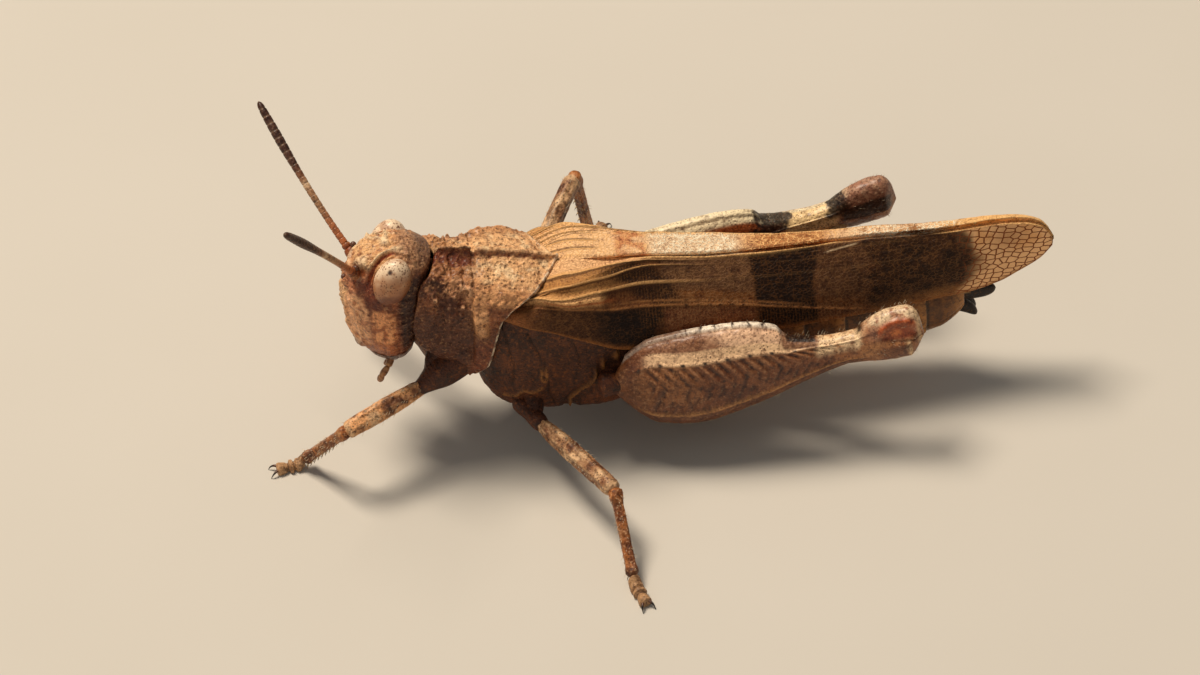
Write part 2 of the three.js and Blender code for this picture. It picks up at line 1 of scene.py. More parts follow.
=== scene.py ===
"""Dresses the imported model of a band-winged grasshopper at rest with its chitin, wings, eyes and spines.

Shapes are worked out in millimetres in the animal's own frame: X runs from the face to the wing tips,
Y to the animal's right and Z up from the ground. Each shape is a numpy array of points from a formula in
two parameters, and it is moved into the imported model's frame, in metres, when its mesh is made.
"""

import logging
import math
from dataclasses import dataclass, field
from enum import Enum
from typing import Callable, Iterable, Optional, Sequence, Union

import bpy
import numpy as np
from mathutils import Matrix, Vector


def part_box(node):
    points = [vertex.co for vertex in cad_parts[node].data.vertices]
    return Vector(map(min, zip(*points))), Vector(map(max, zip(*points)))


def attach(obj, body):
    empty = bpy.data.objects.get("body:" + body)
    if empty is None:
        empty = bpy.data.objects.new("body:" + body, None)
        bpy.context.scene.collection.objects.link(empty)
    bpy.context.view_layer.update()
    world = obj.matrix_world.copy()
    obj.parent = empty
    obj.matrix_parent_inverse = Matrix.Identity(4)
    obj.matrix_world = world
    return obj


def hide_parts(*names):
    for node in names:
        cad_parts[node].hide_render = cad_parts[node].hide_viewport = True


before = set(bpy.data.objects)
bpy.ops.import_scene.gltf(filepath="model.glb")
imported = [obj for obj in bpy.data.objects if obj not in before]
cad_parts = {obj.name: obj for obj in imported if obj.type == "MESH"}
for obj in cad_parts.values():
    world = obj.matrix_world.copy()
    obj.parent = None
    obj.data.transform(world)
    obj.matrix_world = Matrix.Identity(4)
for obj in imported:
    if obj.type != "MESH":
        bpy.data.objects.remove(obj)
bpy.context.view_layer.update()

logging.basicConfig(level=logging.INFO, format="%(name)s: %(message)s")
LOG = logging.getLogger("grasshopper")

EYE_CENTRE = np.array([1.82, 1.2, 9.78])
MILLIMETRE = 0.001
TINY = 1e-9
FULL_TURN = 2 * math.pi
# Large odd factors that mix the bits of a noise cell's three numbers and of its seed.
CELL_FACTORS = (374761393, 668265263, 2147483647)
SEED_FACTOR = 974711
BIT_FACTOR = 1274126177
# The vertices of one bristle or spine: its root, two rings of four and its tip.
SPIKE_POINTS = 10

Points = np.ndarray


class Side(Enum):
    """The two sides of the animal, with the sign of Y on each."""

    LEFT = -1
    RIGHT = 1

    @property
    def word(self) -> str:
        """The side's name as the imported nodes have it."""
        return self.name.lower()


def frame_shift() -> Points:
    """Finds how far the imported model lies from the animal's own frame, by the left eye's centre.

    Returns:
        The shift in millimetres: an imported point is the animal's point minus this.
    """
    low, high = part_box("eye_left")
    centre = (np.array(low) + np.array(high)) / 2 / MILLIMETRE
    return EYE_CENTRE * [1, Side.LEFT.value, 1] - centre


SHIFT = frame_shift()


# ------------------------------------------------------------------ curves and fields


class Curve:
    """A smooth curve through (position, value) pairs that never overshoots them.

    Between two pairs it is the cubic with tangents equal to the harmonic mean of the neighbouring slopes.
    """

    def __init__(self, *pairs: tuple[float, float]) -> None:
        """Works out the tangents.

        Args:
            pairs: positions, rising, with the value at each.
        """
        self.at = np.array([pair[0] for pair in pairs], float)
        self.value = np.array([pair[1] for pair in pairs], float)
        slope = np.diff(self.value) / np.diff(self.at)
        before = np.concatenate([slope[:1], slope])
        after = np.concatenate([slope, slope[-1:]])
        total = np.where(np.abs(before + after) > TINY, before + after, 1.0)
        self.tangent = np.where(before * after > 0, 2 * before * after / total, 0.0)

    def __call__(self, position: Union[float, Points]) -> Points:
        """Reads the curve, which is level past its two ends.

        Args:
            position: where to read it.

        Returns:
            The value at each position.
        """
        s = np.clip(position, self.at[0], self.at[-1])
        i = np.clip(np.searchsorted(self.at, s, side="left") - 1, 0, len(self.at) - 2)
        width = self.at[i + 1] - self.at[i]
        t = (s - self.at[i]) / width
        start = self.value[i] * (1 + 2 * t) * (1 - t) ** 2 + self.tangent[i] * width * t * (1 - t) ** 2
        end = self.value[i + 1] * t * t * (3 - 2 * t) + self.tangent[i + 1] * width * t * t * (t - 1)
        return start + end


def mixed(start: Union[float, Points], end: Union[float, Points], share: Union[float, Points]) -> Points:
    """A straight blend: start where share is 0, end where it is 1."""
    return start + (end - start) * share


def eased(value: Points, low: float, high: float) -> Points:
    """0 below low, 1 above high, and 3t^2 - 2t^3 between them. low may be above high."""
    t = np.clip((value - low) / (high - low), 0, 1)
    return t * t * (3 - 2 * t)


def hump(value: Points, centre: Union[float, Points], width: Union[float, Points]) -> Points:
    """A bell curve, 1 at the centre and 1/e one width away."""
    return np.exp(-(((value - centre) / width) ** 2))


def plateau(value: Points, low: float, high: float, soft: float) -> Points:
    """1 between low and high, falling to 0 over `soft` on either side."""
    return eased(value, low - soft, low) * eased(value, high + soft, high)


def squared(value: Points, exponent: float) -> Points:
    """A signed power, which turns a circle's sine into a squarer section for a larger exponent."""
    return np.sign(value) * np.abs(value) ** (2 / exponent)


def from_line(across: Points, up: Points, corners: Sequence[tuple]) -> Points:
    """The distance to a bent line, the least of those to its straight lengths.

    Args:
        across: each point's first coordinate.
        up: its second.
        corners: the line's corners.

    Returns:
        One distance for each point.
    """
    place = np.stack([across, up], axis=-1)
    nearest = np.full(across.shape, np.inf)
    for start, end in zip(np.array(corners[:-1]), np.array(corners[1:])):
        run = end - start
        share = np.clip((place - start) @ run / (run @ run), 0, 1)
        nearest = np.minimum(nearest, np.linalg.norm(place - start - share[..., None] * run, axis=-1))
    return nearest


def lattice(cell: Points, seed: int) -> Points:
    """Gives each cell a fixed random number, by mixing the bits of its three whole numbers.

    Args:
        cell: three whole numbers for each cell.
        seed: picks another set of random numbers.

    Returns:
        A number in -1 to 1 for each cell.
    """
    whole = cell.astype(np.int64)
    bits = sum(whole[..., i] * factor for i, factor in enumerate(CELL_FACTORS)) + seed * SEED_FACTOR
    bits = (bits ^ (bits >> 13)) * BIT_FACTOR
    bits = (bits ^ (bits >> 16)) & 0xFFFFFF
    return bits / 0x7FFFFF - 1


def grain(points: Points, size: float, octaves: int = 3, seed: int = 0) -> Points:
    """Smooth noise in about -1 to 1: lattice numbers blended over cells of `size`, halved in each octave.

    Args:
        points: places, in millimetres.
        size: the width of the largest cells, in millimetres.
        octaves: how many sizes are summed, each half as wide and half as strong.
        seed: picks another pattern.

    Returns:
        One number for each point.
    """
    total = np.zeros(points.shape[:-1])
    strength = 1.0
    for octave in range(octaves):
        scaled = points / size * 2**octave + 17.3 * octave
        corner = np.floor(scaled)
        t = scaled - corner
        t = t * t * (3 - 2 * t)
        for offset in np.ndindex(2, 2, 2):
            weight = np.prod(np.where(np.array(offset) == 1, t, 1 - t), axis=-1)
            total += strength * weight * lattice(corner + offset, seed + octave)
        strength /= 2
    return total


def srgb(text: str) -> Points:
    """The linear colour of a six-digit hexadecimal one, by the standard's power curve."""
    coded = np.array([int(text[i : i + 2], 16) for i in (0, 2, 4)]) / 255
    return np.where(coded <= 0.04045, coded / 12.92, ((coded + 0.055) / 1.055) ** 2.4)


def tinted(base: Points, colour: str, share: Points) -> Points:
    """Lays a colour over per-vertex colours by the given share of each vertex."""
    return mixed(base, srgb(colour), np.clip(share, 0, 1)[..., None])


def layered(base: Points, *layers: tuple[str, Points]) -> Points:
    """Lays several colours over per-vertex colours, one after another.

    Args:
        base: the colours to start from.
        layers: each a colour and its share at every vertex.

    Returns:
        The colours.
    """
    for colour, share in layers:
        base = tinted(base, colour, share)
    return base


def plain(colour: str, shape: Sequence[int]) -> Points:
    """One colour for a whole grid of vertices."""
    return np.broadcast_to(srgb(colour), (*shape, 3)).copy()


def unit(vectors: Points) -> Points:
    """Vectors brought to a length of 1."""
    return vectors / np.maximum(np.linalg.norm(vectors, axis=-1, keepdims=True), TINY)


def split(points: Points) -> Points:
    """All X, all Y and all Z of an array of points."""
    return np.moveaxis(points, -1, 0)


def round_grid(rows: int, sides: int) -> Sequence[Points]:
    """The two parameters of a round body: a share from 0 to 1 in each row, and the angle round the ring."""
    turn = np.linspace(0, FULL_TURN, sides, endpoint=False)
    return np.broadcast_arrays(np.linspace(0, 1, rows)[:, None], turn[None, :])


def flat_grid(rows: int, columns: int) -> tuple[Points, Points]:
    """Two parameters from 0 to 1 over a plate: the first along its rows, the second across them."""
    return tuple(np.meshgrid(np.linspace(0, 1, rows), np.linspace(0, 1, columns), indexing="ij"))


def rounded(gap: Points, width: float) -> Points:
    """A quarter circle: 0 where the gap is 0, rising to 1 where it is `width` or more."""
    return np.sqrt(np.clip(1 - (1 - np.clip(gap / width, 0, 1)) ** 2, 0, 1))


def ball(rows: int, sides: int, pole: float) -> Points:
    """Rings of a ball of radius 1: sines and cosines of the angle from the pole and of the turn about it.

    Args:
        rows: how many rings.
        sides: how many corners a ring has.
        pole: the angle between a pole and the ring next to it.

    Returns:
        An array of rings x corners x 3.
    """
    polar = np.linspace(pole, math.pi - pole, rows)[:, None]
    turn = np.linspace(0, FULL_TURN, sides, endpoint=False)[None, :]
    high = np.cos(polar) + 0 * turn
    return np.stack([np.sin(polar) * np.cos(turn), np.sin(polar) * np.sin(turn), high], axis=-1)


def directions(grid: Points) -> Points:
    """Unit normals of a grid surface, the cross product of its differences along the two parameters."""
    return unit(np.cross(np.gradient(grid, axis=0), np.gradient(grid, axis=1)))


def ring_directions(rings: Points, inside: Optional[Sequence[float]] = None) -> Points:
    """Finds unit normals of closed rings, with the last corner taken as the first one's neighbour.

    Args:
        rings: an array of rings x corners x 3.
        inside: a place inside the body, which the normals are to point away from.

    Returns:
        A normal for each corner.
    """
    padded = np.concatenate([rings[:, -2:], rings, rings[:, :2]], axis=1)
    normal = directions(padded)[:, 2:-2]
    if inside is None:
        return normal
    return normal * np.sign(np.sum(normal * (rings - inside), axis=-1).mean())


# ------------------------------------------------------------------ skins: points, faces and paint


@dataclass
class Skin:
    """The surface of one piece, in millimetres of the animal's frame.

    Attributes:
        points: one row for each vertex.
        quads: four vertex numbers for each four-sided face.
        triangles: three vertex numbers for each three-sided face.
        values: per-vertex numbers or colours by name, which the finishes read.
    """

    points: Points
    quads: Points
    triangles: Points
    values: dict[str, Points] = field(default_factory=dict)

    @staticmethod
    def loft(rings: Points, **values: Points) -> "Skin":
        """Closes rings into a body: quads between rings, and a fan to the middle of each end ring.

        Args:
            rings: an array of rings x corners x 3.
            values: arrays of rings x corners, or rings x corners x 3 for a colour.

        Returns:
            The closed skin.
        """
        rows, sides = rings.shape[:2]
        number = np.arange(rows * sides).reshape(rows, sides)
        beside = np.roll(number, -1, axis=1)
        quads = np.stack([number[:-1], beside[:-1], beside[1:], number[1:]], axis=-1).reshape(-1, 4)
        first, last = rows * sides, rows * sides + 1
        fans = [
            np.stack([np.full(sides, first), beside[0], number[0]], axis=-1),
            np.stack([np.full(sides, last), number[-1], beside[-1]], axis=-1),
        ]
        kept = {name: Skin.with_poles(array) for name, array in values.items()}
        return Skin(Skin.with_poles(rings), quads, np.concatenate(fans), kept).outward()

    @staticmethod
    def with_poles(array: Points) -> Points:
        """Lists a grid's rows, then the mean of the first ring and that of the last.

        Args:
            array: rings x corners, or rings x corners x 3.

        Returns:
            One row for each vertex.
        """
        rows, sides = array.shape[:2]
        ends = [array[:1].mean(axis=1).reshape(1, -1), array[-1:].mean(axis=1).reshape(1, -1)]
        return np.concatenate([array.reshape(rows * sides, -1), *ends])

    @staticmethod
    def wall(outer: Points, inner: Points, **values: Points) -> "Skin":
        """Closes a plate between two grids of the same size, with a rim of quads round its four edges.

        Args:
            outer: the outer face's points, rows x columns x 3.
            inner: the inner face's points, in the same order.
            values: arrays over the outer face, which the inner face repeats.

        Returns:
            The closed skin.
        """
        rows, columns = outer.shape[:2]
        top = np.arange(rows * columns).reshape(rows, columns)
        low = top + rows * columns
        rim_top = np.concatenate([top[0, :-1], top[:-1, -1], top[-1, :0:-1], top[:0:-1, 0]])
        rim_low = rim_top + rows * columns
        faces = [
            np.stack([top[:-1, :-1], top[1:, :-1], top[1:, 1:], top[:-1, 1:]], axis=-1).reshape(-1, 4),
            np.stack([low[:-1, :-1], low[:-1, 1:], low[1:, 1:], low[1:, :-1]], axis=-1).reshape(-1, 4),
            np.stack([rim_top, np.roll(rim_top, -1), np.roll(rim_low, -1), rim_low], axis=-1),
        ]
        points = np.concatenate([outer.reshape(-1, 3), inner.reshape(-1, 3)])
        kept = {key: np.tile(array.reshape(rows * columns, -1), (2, 1)) for key, array in values.items()}
        return Skin(points, np.concatenate(faces), np.zeros((0, 3), int), kept).outward()

    @staticmethod
    def spikes(roots: Points, tips: Points, radius: float, bend: Points) -> "Skin":
        """Makes closed, slightly bent spikes: two rings of four corners and a point for each.

        A ring's corners lie at root + share * (tip - root) + bend, radius away along two crossed directions.

        Args:
            roots: one root a spike.
            tips: one tip a spike.
            radius: half the width at the root.
            bend: how far each spike's middle is pushed aside.

        Returns:
            All the spikes as one skin, with the value "along" from 0 at a root to 1 at a tip.
        """
        count = len(roots)
        axis = unit(tips - roots)
        helper = np.where(np.abs(axis[:, 2:]) < 0.9, [[0.0, 0.0, 1.0]], [[1.0, 0.0, 0.0]])
        first = unit(np.cross(axis, helper))
        second = np.cross(axis, first)
        turn = (np.arange(4) * math.pi / 2)[None, :, None]
        spoke = (np.cos(turn) * first[:, None] + np.sin(turn) * second[:, None]) * radius
        middle = (roots + tips) / 2 + bend
        waist = middle[:, None] + spoke * 0.62
        block = np.concatenate([roots[:, None], roots[:, None] + spoke, waist, tips[:, None]], axis=1)
        low, high, tip = np.arange(1, 5), np.arange(5, 9), np.full(4, 9)
        low_next, high_next = np.roll(low, -1), np.roll(high, -1)
        quad = np.stack([low, low_next, high_next, high], axis=-1)
        fans = [np.stack([0 * low, low_next, low], axis=-1), np.stack([tip, high, high_next], axis=-1)]
        step = (np.arange(count) * SPIKE_POINTS)[:, None, None]
        along = np.tile(np.repeat([0.0, 0.0, 0.5, 1.0], [1, 4, 4, 1]), count)[:, None]
        values = {"along": along, "root": np.repeat(roots, SPIKE_POINTS, axis=0)}
        quads = (quad + step).reshape(-1, 4)
        triangles = (np.concatenate(fans) + step).reshape(-1, 3)
        return Skin(block.reshape(-1, 3), quads, triangles, values).outward()

    @staticmethod
    def joined(skins: Iterable["Skin"]) -> "Skin":
        """Puts several skins into one.

        Args:
            skins: skins that all have the same values.

        Returns:
            The one skin.
        """
        parts = list(skins)
        starts = np.cumsum([0] + [len(part.points) for part in parts[:-1]])
        return Skin(
            np.concatenate([part.points for part in parts]),
            np.concatenate([part.quads + start for part, start in zip(parts, starts)]),
            np.concatenate([part.triangles + start for part, start in zip(parts, starts)]),
            {name: np.concatenate([part.values[name] for part in parts]) for name in parts[0].values},
        )

    def outward(self) -> "Skin":
        """Turns all faces round if the enclosed volume, the sum of their tetrahedra, is negative.

        Returns:
            The same skin.
        """
        corners = np.concatenate([self.triangles, self.quads[:, :3], self.quads[:, [0, 2, 3]]])
        a, b, c = (self.points[corners[:, i]] for i in range(3))
        if np.einsum("ij,ij->", a, np.cross(b, c)) < 0:
            self.quads = self.quads[:, ::-1]
            self.triangles = self.triangles[:, ::-1]
        return self


def make_piece(name: str, skin: Skin, material: bpy.types.Material, slot: str, *nodes: str) -> None:
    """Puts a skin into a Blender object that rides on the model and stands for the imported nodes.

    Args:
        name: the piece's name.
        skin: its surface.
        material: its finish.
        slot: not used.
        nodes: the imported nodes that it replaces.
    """
    mesh = bpy.data.meshes.new(name)
    points = (skin.points - SHIFT) * MILLIMETRE
    mesh.vertices.add(len(points))
    mesh.vertices.foreach_set("co", points.astype(np.float32).ravel())
    sizes = np.concatenate([np.full(len(skin.quads), 4), np.full(len(skin.triangles), 3)])
    corners = np.concatenate([skin.quads.ravel(), skin.triangles.ravel()])
    mesh.loops.add(len(corners))
    mesh.loops.foreach_set("vertex_index", corners.astype(np.int32))
    mesh.polygons.add(len(sizes))
    mesh.polygons.foreach_set("loop_start", (np.cumsum(sizes) - sizes).astype(np.int32))
    mesh.polygons.foreach_set("use_smooth", np.ones(len(sizes), bool))
    for key, values in skin.values.items():
        if key == "root":
            add_tuft_map(mesh, values, corners)
        elif values.shape[1] == 3:
            opaque = np.hstack([values, np.ones((len(values), 1))])
            layer = mesh.attributes.new(key, "FLOAT_COLOR", "POINT")
            layer.data.foreach_set("color", opaque.astype(np.float32).ravel())
        else:
            layer = mesh.attributes.new(key, "FLOAT", "POINT")
            layer.data.foreach_set("value", values.astype(np.float32).ravel())
    mesh.update(calc_edges=True)
    mesh.validate()
    mesh.materials.append(material)
    piece = bpy.data.objects.new(name, mesh)
    bpy.context.scene.collection.objects.link(piece)
    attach(piece, "root")
    if nodes:
        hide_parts(*nodes)
    LOG.info("%s: %d triangles", name, 2 * len(skin.quads) + len(skin.triangles))


def add_tuft_map(mesh: bpy.types.Mesh, roots: Points, corners: Points) -> None:
    """Gives bristles a UV map where each is a small patch at its root's place on an unwrap of the animal.

    The unwrap is the root's distance along the body by its angle round the body's length.

    Args:
        mesh: the bristles' mesh.
        roots: the root of each vertex's bristle.
        corners: the vertex number of each face corner.
    """
    axis_height, foremost, length, patch = 5, -5, 36, 0.003
    around = np.arctan2(roots[:, 1], roots[:, 2] - axis_height) / FULL_TURN + 0.5
    share = (roots[:, 0] - foremost) / length
    turn = np.arange(len(roots)) % SPIKE_POINTS / SPIKE_POINTS * FULL_TURN
    place = np.stack([share + patch / 2 * np.cos(turn), around + patch / 2 * np.sin(turn)], axis=-1)
    mesh.uv_layers.new(name="OFBake").data.foreach_set("uv", place[corners].astype(np.float32).ravel())


# ------------------------------------------------------------------ finishes


class Distance(Enum):
    """What a pattern of cells measures from."""

    CENTRE = "F1"
    EDGE = "DISTANCE_TO_EDGE"


class Signal:
    """A number in a shader. Its arithmetic adds Math nodes, so patterns read as formulas."""

    def __init__(self, shader: "Shader", socket: bpy.types.NodeSocket) -> None:
        """Wraps a socket.

        Args:
            shader: the shader whose nodes it adds to.
            socket: the output that holds the number.
        """
        self.shader = shader
        self.socket = socket

    def math(self, operation: str, *terms: Union[float, "Signal"]) -> "Signal":
        """Adds one Math node on these terms."""
        return self.shader.signal("ShaderNodeMath", {"operation": operation}, dict(enumerate(terms)))

    def __add__(self, other: Union[float, "Signal"]) -> "Signal":
        """self + other."""
        return self.math("ADD", self, other)

    __radd__ = __add__

    def __sub__(self, other: Union[float, "Signal"]) -> "Signal":
        """self - other."""
        return self.math("SUBTRACT", self, other)

    def __rsub__(self, other: float) -> "Signal":
        """other - self."""
        return self.math("SUBTRACT", other, self)

    def __mul__(self, other: Union[float, "Signal"]) -> "Signal":
        """self * other."""
        return self.math("MULTIPLY", self, other)

    __rmul__ = __mul__

    def __abs__(self) -> "Signal":
        """The number without its sign."""
        return self.math("ABSOLUTE", self)

    def over(self, low: float, high: float) -> "Signal":
        """Makes a smooth step.

        Args:
            low: where the step is 0. It may be above high.
            high: where it is 1.

        Returns:
            The step, level past both.
        """
        settings = {"interpolation_type": "SMOOTHSTEP"}
        inputs = {"Value": self, "From Min": low, "From Max": high}
        return self.shader.signal("ShaderNodeMapRange", settings, inputs)

    def from_whole(self) -> "Signal":
        """The distance to the nearest whole number, 0 to 0.5."""
        return abs(self.math("FRACT", self + 0.5) - 0.5)

    def clipped(self) -> "Signal":
        """The number held between 0 and 1."""
        return self.shader.signal("ShaderNodeClamp", {}, {"Value": self})


Term = Union[float, tuple, Points, Signal, bpy.types.NodeSocket]
Paint = Union[str, bpy.types.NodeSocket]


class Shader:
    """One material: a Principled shader and the nodes that feed it."""

    def __init__(self, name: str, **constants: Term) -> None:
        """Starts a material.

        Args:
            name: the material's name.
            constants: values set on the Principled shader's own sockets, with underscores for spaces.
        """
        self.material = bpy.data.materials.new(name)
        self.material.use_nodes = True
        self.tree = self.material.node_tree
        self.tree.nodes.clear()
        self.output = self.tree.nodes.new("ShaderNodeOutputMaterial")
        self.surface = self.tree.nodes.new("ShaderNodeBsdfPrincipled")
        self.tree.links.new(self.surface.outputs["BSDF"], self.output.inputs["Surface"])
        self.feed(**constants)

    def feed(self, **inputs: Term) -> None:
        """Sets or links sockets of the Principled shader, with underscores for spaces."""
        for name, term in inputs.items():
            self._set(self.surface.inputs[name.replace("_", " ")], term)

    def _set(self, socket: bpy.types.NodeSocket, term: Term) -> None:
        """Links or sets one input.

        Args:
            socket: the input.
            term: what it gets: a signal, a node's output, a colour or a plain value.
        """
        if isinstance(term, (Signal, bpy.types.NodeSocket)):
            self.tree.links.new(getattr(term, "socket", term), socket)
        elif isinstance(term, np.ndarray):
            socket.default_value = (*term, 1.0)[: len(socket.default_value)]
        else:
            socket.default_value = term

    def node(self, kind: str, settings: dict, inputs: dict) -> bpy.types.Node:
        """Adds a node.

        Args:
            kind: the node's type.
            settings: its own properties, set first.
            inputs: values or links by socket name or number.

        Returns:
            The node.
        """
        made = self.tree.nodes.new(kind)
        for key, value in settings.items():
            setattr(made, key, value)
        for key, term in inputs.items():
            self._set(made.inputs[key], term)
        return made

    def signal(self, kind: str, settings: dict, inputs: dict, output: Union[int, str] = 0) -> Signal:
        """Adds a node and wraps one of its outputs as a number."""
        return Signal(self, self.node(kind, settings, inputs).outputs[output])

    def value(self, name: str) -> Signal:
        """A per-vertex number of the piece."""
        return self.signal("ShaderNodeAttribute", {"attribute_name": name}, {}, "Fac")

    def paint(self, name: str = "paint") -> bpy.types.NodeSocket:
        """A per-vertex colour of the piece."""
        return self.node("ShaderNodeAttribute", {"attribute_name": name}, {}).outputs["Color"]

    def place(self, stretch: tuple = (1.0, 1.0, 1.0), turn: tuple = (0.0, 0.0, 0.0)) -> bpy.types.NodeSocket:
        """Gives object coordinates in millimetres.

        Args:
            stretch: how many times they are stretched along each axis.
            turn: their turn about each axis.

        Returns:
            The vector.
        """
        where = self.node("ShaderNodeTexCoord", {}, {}).outputs["Object"]
        scale = tuple(factor / MILLIMETRE for factor in stretch)
        inputs = {"Vector": where, "Scale": scale, "Rotation": turn}
        return self.node("ShaderNodeMapping", {}, inputs).outputs[0]

    def noise(self, where: bpy.types.NodeSocket, scale: float, detail: float, rough: float = 0.5) -> Signal:
        """Smooth noise, about 0.2 to 0.8, with `scale` cells in a unit of the vector."""
        inputs = {"Vector": where, "Scale": scale, "Detail": detail, "Roughness": rough}
        return self.signal("ShaderNodeTexNoise", {"noise_dimensions": "3D"}, inputs)

    def cells(
        self,
        where: bpy.types.NodeSocket,
        scale: float,
        feature: Distance = Distance.CENTRE,
        loose: float = 1.0,
        dimensions: str = "3D",
    ) -> Signal:
        """Parts space or a plane into cells.

        Args:
            where: the place.
            scale: how many cells there are in a unit of it.
            feature: which distance is wanted.
            loose: 0 for a square net, 1 for the loosest cells.
            dimensions: "3D", or "2D" for cells in the vector's first two numbers.

        Returns:
            The distance.
        """
        settings = {"feature": feature.value, "voronoi_dimensions": dimensions}
        inputs = {"Vector": where, "Scale": scale, "Randomness": loose}
        return self.signal("ShaderNodeTexVoronoi", settings, inputs, "Distance")

    def mix(self, share: Term, base: Paint, over: Paint, blend: str = "MIX") -> bpy.types.NodeSocket:
        """Lays a colour over another.

        Args:
            share: how much of it, 0 to 1.
            base: the colour below, as a node's output or in six hexadecimal digits.
            over: the colour above, given likewise.
            blend: how they mix.

        Returns:
            The mixed colour.
        """
        settings = {"data_type": "RGBA", "blend_type": blend}
        made = self.node("ShaderNodeMix", settings, {"Factor": share})
        sockets = [socket for socket in made.inputs if socket.type == "RGBA"]
        for socket, colour in zip(sockets, (base, over)):
            self._set(socket, srgb(colour) if isinstance(colour, str) else colour)
        return next(socket for socket in made.outputs if socket.type == "RGBA")

    def relief(self, height: Signal, depth: float, **base: bpy.types.NodeSocket) -> bpy.types.NodeSocket:
        """Makes a Bump node.

        Args:
            height: the relief.
            depth: how many millimetres high a height of 1 stands.
            base: the Normal that it stands on, where it isn't the plain surface.

        Returns:
            The bent normal.
        """
        inputs = {"Height": height, "Distance": depth * MILLIMETRE, "Strength": 1.0, **base}
        return self.node("ShaderNodeBump", {}, inputs).outputs[0]


@dataclass(frozen=True)
class Chitin:
    """Shell of the body and legs: painted ground, dark specks, pale flecks, pits and a rough grain.

    Attributes:
        name: the material's name.
        roughness: the mean roughness.
        speck: the width of a dark speck's cell, in millimetres.
        speck_colour: the specks' colour.
        speck_share: how dark the specks are, 0 to 1.
        fleck_colour: the colour of the pale flecks between them.
        fleck_share: how strong the flecks are, 0 to 1.
        pit_depth: how deep the pits are, in millimetres.
        pit: the width of a pit's cell, in millimetres.
        grit: how high the rough grain stands, in millimetres.
        coat: how much clear gloss lies over it.
    """

    name: str
    roughness: float = 0.55
    speck: float = 0.16
    speck_colour: str = "3A2012"
    speck_share: float = 0.75
    fleck_colour: str = "D9B384"
    fleck_share: float = 0.3
    pit_depth: float = 0.02
    pit: float = 0.14
    grit: float = 0.03
    coat: float = 0.1

    def material(self) -> bpy.types.Material:
        """Builds it: specks are cell centres nearer than a varying radius, flecks a noise above a level.

        Returns:
            The material.
        """
        shader = Shader(self.name, IOR=1.5, Specular_IOR_Level=0.3, Coat_Weight=self.coat, Coat_Roughness=0.3)
        where = shader.place()
        broad = shader.noise(where, 0.9, 3.0)
        fine = shader.noise(where, 7.0, 5.0, 0.68)
        warp = shader.noise(where, 3.1, 3.0, 0.6)
        centre = shader.cells(where, 1 / self.speck)
        speck = centre.over(0.36, 0.16) * (broad * 0.5 + warp * 0.5).over(0.42, 0.56) * self.speck_share
        fleck = fine.over(0.53, 0.66) * self.fleck_share
        colour = shader.mix(fleck.clipped(), shader.paint(), self.fleck_colour)
        shade = ((0.5 - fine) * 2.8 + (0.5 - warp) * 1.8 + 0.14).clipped()
        colour = shader.mix(shade, colour, self.speck_colour, "MULTIPLY")
        colour = shader.mix(speck, colour, self.speck_colour)
        pits = shader.cells(where, 1 / self.pit, loose=0.9).over(0.1, 0.5)
        rough = shader.relief(fine + warp * 0.5, self.grit)
        shader.feed(
            Base_Color=colour,
            Roughness=((fine - 0.5) * 0.8 + self.roughness + speck * 0.1).clipped(),
            Normal=shader.relief(pits, self.pit_depth, Normal=rough),
        )
        return shader.material


